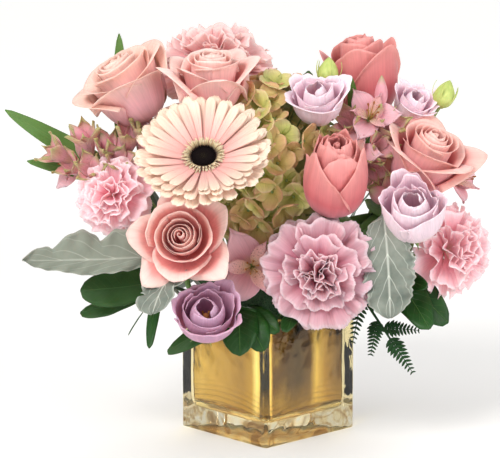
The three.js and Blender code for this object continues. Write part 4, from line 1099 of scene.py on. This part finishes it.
def plainLeaf(sheaf, base, tip, side, width, bow, tone, swell=0.7):
    base, tip = np.array(base, float), np.array(tip, float)
    across = unit(side)
    along = tip - base
    up = unit(np.cross(unit(along), across))
    u, v = grid(22, 9)
    half = 0.7 + (width / 2 - 0.7) * np.abs(np.sin(np.pi * u ** 0.9)) ** swell
    half = np.where(u > 0.97, half * 0.5, half)
    ripple = 0.035 * np.sin(9 * u + 3 * tone) * v ** 2 + 0.02 * np.sin(21 * u + 5 * tone) * np.abs(v) ** 3
    lift = bow * np.sin(np.pi * u) + 0.18 * half * np.abs(v) - 0.16 * half * v ** 2 + width * ripple
    sheaf.blade(base + pushed(u, along) + pushed(half * v, across) + pushed(lift, up), 0.7, tone)


for seed, (name, spray) in enumerate(alstroemerias.items()):
    dice = random.Random(130 + seed)
    broad, narrow, threads, green, pink, blades, shut = (Sheaf() for k in range(7))
    fork = np.array(spray["fork"], float)
    for at, facing, radius in spray["flowers"]:
        place = frameOf(at, facing)
        base = -radius * 0.72
        for k in range(3):
            turn = 2 * pi * k / 3
            sheet = spun(tepal(radius, base, 1.28, 62, 44, dice), turn)
            broad.blade(inFrame(sheet, place), 0.6, tone=dice.random())
            sheet = spun(tepal(radius, base + 2, 1.14, 42, 24, dice), turn + pi / 3)
            narrow.blade(inFrame(sheet, place), 0.6, tone=dice.random())
        for k in range(6):
            r = np.array([0.8, 2.5, 4.2, 5.0, 5.4])
            z = base + radius * np.array([2 / radius, 0.6, 0.95, 1.05, 1.12])
            path = inFrame(around(k * pi / 3 + 0.3, r, z), place)
            threads.tube(path, [0.3, 0.3, 0.28, 0.9, 0.5], 6, tone=dice.random())
        stalkFrom(green, fork, onAxis(place, base - 1.5))
        heel = profile((1.3, -5), (2.4, -3), (2.8, 0), (2.2, 3)) + (0, base)
        green.lathe(heel, place, 12, shape=lambda angle, u: 1 + 0.06 * np.cos(6 * angle))
    for start, end in spray.get("trumpets", []):
        place, long = frameOf(start, np.subtract(end, start)), np.linalg.norm(np.subtract(end, start))
        for k in range(6):
            inside = k % 2
            sheet = tepal(long, 0, 1.0 - 0.06 * inside, 24 - 6 * inside, 56 - 10 * inside, dice)
            shut.blade(inFrame(spun(sheet, pi / 3 * k), place), 0.6, tone=dice.random())
        stalkFrom(green, fork, start)
    for start, end, radius in spray["buds"]:
        ahead = unit(np.subtract(end, start))
        budForm(pink, start, end, radius, lobes=3, twist=0.7)
        stalkFrom(green, fork, start + ahead * 2)
    for tip, side, width, bow in spray["leaves"]:
        plainLeaf(blades, fork, tip, side, width, bow, tone=dice.random())
    for sheaf, ending, paint in ((broad, "broad", "alstroemeria"), (narrow, "narrow", "streaked"),
                                 (threads, "stamens", "stigma"), (shut, "trumpets", "halfOpen"),
                                 (pink, "buds", "budPink"), (blades, "leaves", "spear")):
        if sheaf.count:
            sheaf.piece(name + "_" + ending, paint, "leaf" if ending == "leaves" else "alstroemeria", name)
    dress = lambda stem, path, green=green: stem.take(green)
    plant(name, fork, unit(fork - stemPivot), 1.9, dress, "paleStem")
print("alstroemeria", len(alstroemerias))


# silver leaves: felted, with rounded lobes
silverLeaves = {
    "silver_leaf_left": dict(
        base=(-86, -72, 153), tip=(-187, -100, 155), side=(0.1, 0.35, 0.93), width=60, bow=7, lobes=2.1,
        cut=0.46, plain=0.9, taper=0.62),
    "silver_leaf_front": dict(
        base=(-60, -72, 142), tip=(-88, -111, 116), side=(0.85, -0.3, 0.3), width=40, bow=9, lobes=2.4,
        cut=0.34),
    "silver_leaf_right": dict(
        base=(88, -72, 188), tip=(93, -88, 108), side=(0.95, 0.1, 0.1), width=42, bow=6, lobes=5, cut=0.14),
    "silver_leaf_back": dict(
        base=(-50, 60, 140), tip=(-120, 104, 132), side=(0.3, 0.2, 0.93), width=46, bow=6, lobes=3.2),
}


def lobedLeaf(sheaf, leaf, tone):
    base, tip = np.array(leaf["base"], float), np.array(leaf["tip"], float)
    across = unit(leaf["side"])
    along = tip - base
    up = unit(np.cross(unit(along), across))
    u, v = grid(73, 17)
    count = 2 * leaf["lobes"] + 1
    body = 1.5 + (leaf["width"] / 2 - 1.5) * np.sin(np.pi * (0.1 + 0.78 * u)) ** 0.7
    hand = np.where(v > 0, 0.0, 0.35)
    side = np.abs(v)
    lobe = (0.5 - 0.5 * np.cos(np.pi * u * count + hand)) ** 0.36
    plain = np.where(v > 0, 0.0, leaf.get("plain", 0.0))
    small = 0.035 * np.sin(np.pi * u * count * 3 + hand * 3)
    cut = leaf.get("cut", 0.38) * (1 - plain)
    body = body * (1 - leaf.get("taper", 0.0) * u ** 2) * (1 - 0.62 * plain)
    ends = np.sqrt(np.clip((1 - u) * 9, 0.02, 1)) * np.minimum(1, u * 20 + 0.15)
    half = body * (1 - cut + cut * lobe + small * side) * ends
    ripple = 0.05 * np.sin(np.pi * u * count + 0.6) * v ** 2 + 0.022 * np.sin(40 * u + 4 * v) * side
    lift = leaf["bow"] * np.sin(np.pi * u) + 0.12 * half * side + leaf["width"] * ripple
    share = np.clip(u + 0.06 * side ** 1.5 * (1 - u), 0, 1.02)
    sheaf.blade(base + pushed(share, along) + pushed(half * v, across) + pushed(lift, up), 1.1, tone)


for seed, (name, leaf) in enumerate(silverLeaves.items()):
    neck = lerp(np.array(leaf["base"], float), np.array(leaf["tip"], float), 0.06)
    dress = lambda stem, path, leaf=leaf, tone=seed / 4: lobedLeaf(stem, leaf, tone)
    plant(name, neck, None, 1.5, dress, "silver", "silver_leaf")


# leafy stems: dark waxy ovals, each with its tip, side, width and bow
greens = {
    "greens_left": dict(
        end=(-92, -46, 128),
        leaves=[
            ((-146, -66, 126), (0.1, 0.4, 0.9), 32, 5), ((-148, -48, 104), (0.3, 0.5, 0.8), 22, 4),
            ((-92, -86, 84), (0.95, -0.2, 0.2), 10, 3), ((-108, -84, 94), (0.6, 0.2, 0.75), 7, 2),
            ((-112, -8, 180), (0.2, 0.9, 0.2), 24, 4), ((-96, -34, 196), (0.5, 0.7, 0.1), 22, 4)]),
    "greens_front": dict(
        end=(-24, -64, 112),
        leaves=[
            ((-22, -96, 80), (0.97, 0.1, 0.1), 30, 5), ((-4, -86, 82), (0.85, 0.2, 0.3), 26, 5),
            ((-78, -84, 82), (0.35, 0.4, 0.85), 26, 4), ((8, -80, 96), (0.5, 0.5, 0.7), 20, 3)]),
    "greens_middle": dict(
        end=(28, -58, 116),
        leaves=[((14, -92, 98), (0.9, 0.1, 0.3), 20, 3), ((54, -82, 102), (0.6, 0.5, 0.6), 22, 4)]),
    "greens_right": dict(
        end=(100, -26, 134),
        leaves=[
            ((142, -46, 96), (0.45, 0.3, 0.83), 30, 5), ((124, -80, 98), (0.85, 0.35, 0.3), 30, 5),
            ((122, -80, 130), (0.6, 0.3, 0.7), 18, 4), ((112, 6, 188), (0.2, 0.9, 0.2), 24, 4),
            ((92, -28, 200), (0.6, 0.6, 0.1), 22, 4)]),
    "greens_back_right": dict(
        end=(62, 66, 136),
        leaves=[
            ((116, 92, 118), (0.2, -0.35, 0.9), 32, 5), ((76, 118, 104), (0.85, -0.4, 0.3), 32, 5),
            ((128, 60, 152), (0, -0.5, 0.85), 28, 5), ((32, 108, 96), (0.97, 0.1, 0.2), 28, 5),
            ((90, 26, 196), (0.3, 0.9, 0.2), 26, 4), ((58, 88, 190), (0.9, -0.3, 0.1), 24, 4)]),
    "greens_back_left": dict(
        end=(-66, 34, 140),
        leaves=[
            ((-122, 42, 122), (0.1, 0.5, 0.86), 32, 5), ((-134, 20, 150), (0.1, 0.4, 0.9), 28, 5),
            ((-84, 70, 96), (0.8, 0.5, 0.3), 30, 5), ((-98, 22, 198), (0.2, 0.9, 0.2), 26, 4),
            ((-58, 74, 192), (0.9, 0.4, 0.1), 24, 4)]),
    "greens_top": dict(
        end=(20, 44, 226),
        leaves=[
            ((34, 62, 286), (0.9, -0.3, 0.1), 20, 5), ((-6, 84, 262), (0.9, 0.3, 0.2), 20, 5),
            ((62, 66, 256), (0.5, 0.6, 0.5), 20, 5)]),
}


def leafy(stem, spray, seed):
    neck = np.array(spray["end"], float)
    inward = unit(stemPivot - neck)
    for i, (tip, side, width, bow) in enumerate(spray["leaves"]):
        tone = ((i * 3 + seed) % 7) / 7
        plainLeaf(stem, neck + inward * (1 + 4 * i), tip, side, width, bow, tone, swell=0.5)


for seed, (name, spray) in enumerate(greens.items()):
    dress = lambda stem, path, spray=spray, seed=seed: leafy(stem, spray, seed)
    plant(name, spray["end"], None, 1.6, dress, "leaf", "leaf")


# ferns: side fronds set with small leaflets
ferns = {
    "fern_right": dict(end=(72, -52, 120), tip=(112, -76, 62), side=(0.75, 0.2, 0.6), reach=38, pairs=2),
    "fern_back": dict(end=(-30, 66, 124), tip=(-66, 118, 78), side=(0.75, 0.5, 0.4), reach=40, pairs=1),
}
leaflets = dict(many=10, wide=0.20, teeth=19, thick=0.5)


def sideFrond(stem, base, tip, side, width, tone):
    along = tip - base
    across = unit(side)
    up = unit(np.cross(unit(along), across))
    share = np.linspace(0, 1, 14)[:, None]
    stem.tube(base + along * share + up * 2 * np.sin(np.pi * share), np.linspace(0.7, 0.25, 14), 6, tone)
    u, v = grid(7, 5)
    blunt = np.sin(np.pi * np.clip(u * 0.8 + 0.18, 0, 1)) ** 0.7 * (1 + 0.06 * np.cos(leaflets["teeth"] * u))
    for k in range(leaflets["many"]):
        s = (k + 0.6) / leaflets["many"]
        spot = base + along * s + up * 2 * sin(pi * s)
        long = width / 2 * (1.08 - 0.86 * s) * (0.75 if k == 0 else 1) + 0.8
        half = leaflets["wide"] * long * blunt
        droop = 0.10 * long * u ** 2 - 0.05 * half * np.abs(v)
        for hand in (-1, 1):
            way = unit(across * hand + unit(along) * 0.55)
            flat = unit(np.cross(up, way))
            sheet = spot + pushed(u * long, way) + pushed(half * v, flat) - pushed(droop, up)
            stem.blade(sheet, leaflets["thick"], tone)


def frond(stem, fern):
    neck, last = np.array(fern["end"], float), np.array(fern["tip"], float)
    along = last - neck
    across = unit(fern["side"])
    face = unit(np.cross(across, along))
    stem.tube([neck + along * 0.62 * k / 6 for k in range(7)], np.linspace(1.3, 0.8, 7), 8)
    sideFrond(stem, neck + along * 0.55, last, np.cross(unit(along), face), 17, 0.5)
    for i in range(fern["pairs"]):
        for hand in (-1, 1):
            base = neck + along * (0.08 + 0.3 * i + 0.05 * hand)
            way = unit(unit(along) * 0.75 + across * hand * 0.85)
            tip = base + way * fern["reach"] * (1 - 0.25 * i)
            sideFrond(stem, base, tip, np.cross(way, face), 15, 0.2 + 0.3 * i + 0.1 * hand)


for name, fern in ferns.items():
    plant(name, fern["end"], None, 1.3, lambda stem, path, fern=fern: frond(stem, fern), "fern", "fern")


# hydrangea: cupped florets over an egg-shaped head, left out where they would cut a neighbour
hydrangea = dict(at=(4, -24, 216), facing=(0, -0.7, 0.7), half=(51, 41, 67), florets=210, size=13.5)


def neighbours():
    corners, faces = [], []
    for name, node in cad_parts.items():
        if name == "hydrangea":
            continue
        start = len(corners)
        corners += [tuple(c * 1000 for c in vertex.co) for vertex in node.data.vertices]
        faces += [tuple(start + k for k in face.vertices) for face in node.data.polygons]
    return BVHTree.FromPolygons(corners, faces)


def floretPetals(size, place, dice):
    sheets = []
    u, v = grid(7, 7)
    cup = dice.uniform(0.15, 0.65)
    for k in range(4):
        turn = k * pi / 2 + dice.uniform(-0.1, 0.1)
        long = size * dice.uniform(0.92, 1.04)
        half = 0.60 * long * np.sin(np.pi * np.clip(0.10 + 0.78 * u, 0, 1)) ** 0.8
        r = 0.6 + long * u * (1 - 0.05 * v ** 2)
        z = cup * long * u ** 1.5 + 0.22 * half * v ** 2
        z = z + 0.045 * long * np.sin(5 * v + k + dice.uniform(0, 2)) * u
        sheets.append(inFrame(spun(spots(r, half * v, z), turn), place))
    return sheets


at, half = np.array(hydrangea["at"], float), np.array(hydrangea["half"], float)
out = unit(hydrangea["facing"])
others = neighbours()
dice = random.Random(210)
florets, blushed, beads, under = Sheaf(), Sheaf(), Sheaf(), Sheaf()
cells = np.arange(4 * 7 * 7).reshape(4, 7, 7)  # the four petals of a floret, as floretPetals gives them
quads = np.stack([cells[:, :-1, :-1], cells[:, :-1, 1:], cells[:, 1:, 1:], cells[:, 1:, :-1]], -1)
quads = quads.reshape(-1, 4).tolist()
kept = 0
for i in range(hydrangea["florets"]):
    height = 1 - 2 * (i + 0.5) / hydrangea["florets"]
    flat = sqrt(1 - height * height)
    way = np.array([flat * cos(golden * i), flat * sin(golden * i), height])
    normal = unit(way / half)
    if normal @ out < -0.5:
        continue
    spot = at + half * way * 0.98 + normal * ((i % 3) - 1) * 2.5
    lean = unit(normal + np.array([dice.uniform(-0.5, 0.5) for k in range(3)]))
    place = frameOf(spot, lean)
    sheets = floretPetals(hydrangea["size"] * dice.uniform(0.78, 1.05), place, dice)
    flatPoints = np.concatenate([s.reshape(-1, 3) for s in sheets])
    if BVHTree.FromPolygons(flatPoints.tolist(), quads).overlap(others):
        continue
    kept += 1
    tone = dice.random()
    pinkFrom = 0.45 if spot[2] > 240 else 0.8  # more of them are flushed at the top
    for sheet in sheets:
        (blushed if tone > pinkFrom else florets).blade(sheet, 0.4, tone)
    beads.lathe(profile((0.9, -0.3), (1.3, 0.5), (0.9, 1.3), (0.2, 1.6)), place, 8, tone)
    share = np.linspace(0, 1, 5)[:, None]
    under.tube(lerp(at + half * way * 0.5, spot - lean * 0.3, share), 0.7, 6, tone)
core = dict(share=0.6, sides=28, rings=16, tone=0.4)
angle = np.linspace(0, 2 * np.pi, core["sides"], endpoint=False)
rings, marks = [], []
for s in np.linspace(0.02, 0.98, core["rings"]):
    bumpy = sin(pi * s) * (1 + 0.06 * np.sin(5 * angle + 9 * s))
    rings.append(at + half * core["share"] * around(-angle, bumpy, cos(pi * s)))
    marks.append(ringMarks(core["sides"], s, core["tone"]))
under.rings(np.array(rings), np.array(marks))
florets.piece("hydrangea_florets", "hydrangea", "hydrangea_floret", "hydrangea")
blushed.piece("hydrangea_blushed", "pinkHydrangea", "hydrangea_floret", "hydrangea")
beads.piece("hydrangea_beads", "paleStem", "hydrangea_floret", "hydrangea")
plant("hydrangea", at - out * half[2] * 0.6, out, 3, lambda stem, path: stem.take(under), "paleStem")
print("hydrangea florets", kept)

spreadStems()
growStems()
print("stems", len(plants))


# vase: thick glass with a gold mirror lining on the inside, and the foam
def squareLoops(side, corner, steps):
    # one square outline with rounded corners for each (height, inset)
    loops = []
    for z, inset in steps:
        half, bend = side / 2 - inset, max(corner - inset, 0.4)
        arcs = []
        for x, y, start in ((1, 1, 0), (-1, 1, 90), (-1, -1, 180), (1, -1, 270)):
            arc = around(np.radians(np.linspace(start, start + 90, 7)), bend, z)
            arcs.append(arc + (x * (half - bend), y * (half - bend), 0))
        loops.append(spun(np.concatenate(arcs), radians(vase["turn"])))
    return loops


def boxForm(name, loops, paint, slot, *nodes):
    rings = np.array(loops)
    body = Sheaf()
    marks = np.zeros_like(rings)
    marks[..., 0] = np.linspace(0, 1, len(loops))[:, None]
    body.rings(rings, marks)
    thing = body.piece(name, paint, slot, *nodes)
    thing.data.set_sharp_from_angle(angle=radians(28))


def raised(steps, height):
    return [(height + z, inset) for z, inset in steps]


side, high, low = vase["side"], vase["height"], vase["floor"]
inner, innerCorner = side - 2 * vase["wall"], vase["innerCorner"]
bevel = [(0, 1.0), (0.3, 0.3), (1.0, 0)]
bowl = [(9 - 9 * sin(a), 9 - 9 * cos(a)) for a in np.linspace(0, pi / 2, 7)]
outside = bevel + [(high - z, inset) for z, inset in reversed(bevel)]
hollow = [(high - z, -inset) for z, inset in bevel] + raised(bowl, low)
glass = squareLoops(side, vase["corner"], outside) + squareLoops(inner, innerCorner, hollow)
boxForm("vase_glass", glass, "glass", "glass", "vase")

gap, thick = vase["lining"], vase["liningThick"]
wide, top = inner - 2 * gap, (high - 1.5, 0)
skin = squareLoops(wide, innerCorner, raised(bowl[::-1], low + gap) + [top])
skin += squareLoops(wide - 2 * thick, innerCorner, [top] + raised(bowl, low + gap + thick))
boxForm("vase_lining", skin, "gold", "glass", "vase")

crown = [(-1.5, 0), (-0.4, 0.5), (0, 1.8), (0.4, 14), (0.2, 28)]
block = raised(bowl[::-1], low + 0.6) + raised(crown, foam["top"])
boxForm("foam_block", squareLoops(foam["side"], foam["corner"], block), "foam", "foam", "foam")
print("vase and foam")


# floor
sheetSize = dict(radius=18, sides=48)
floor = bpy.data.meshes.new("floor")
edge = np.linspace(0, 2 * pi, sheetSize["sides"], endpoint=False)
ring = around(edge, sheetSize["radius"], 0).tolist()
floor.from_pydata(ring, [], [tuple(range(sheetSize["sides"]))])
floor.materials.append(finish["floor"])
ground = bpy.data.objects.new("floor", floor)
scene.collection.objects.link(ground)
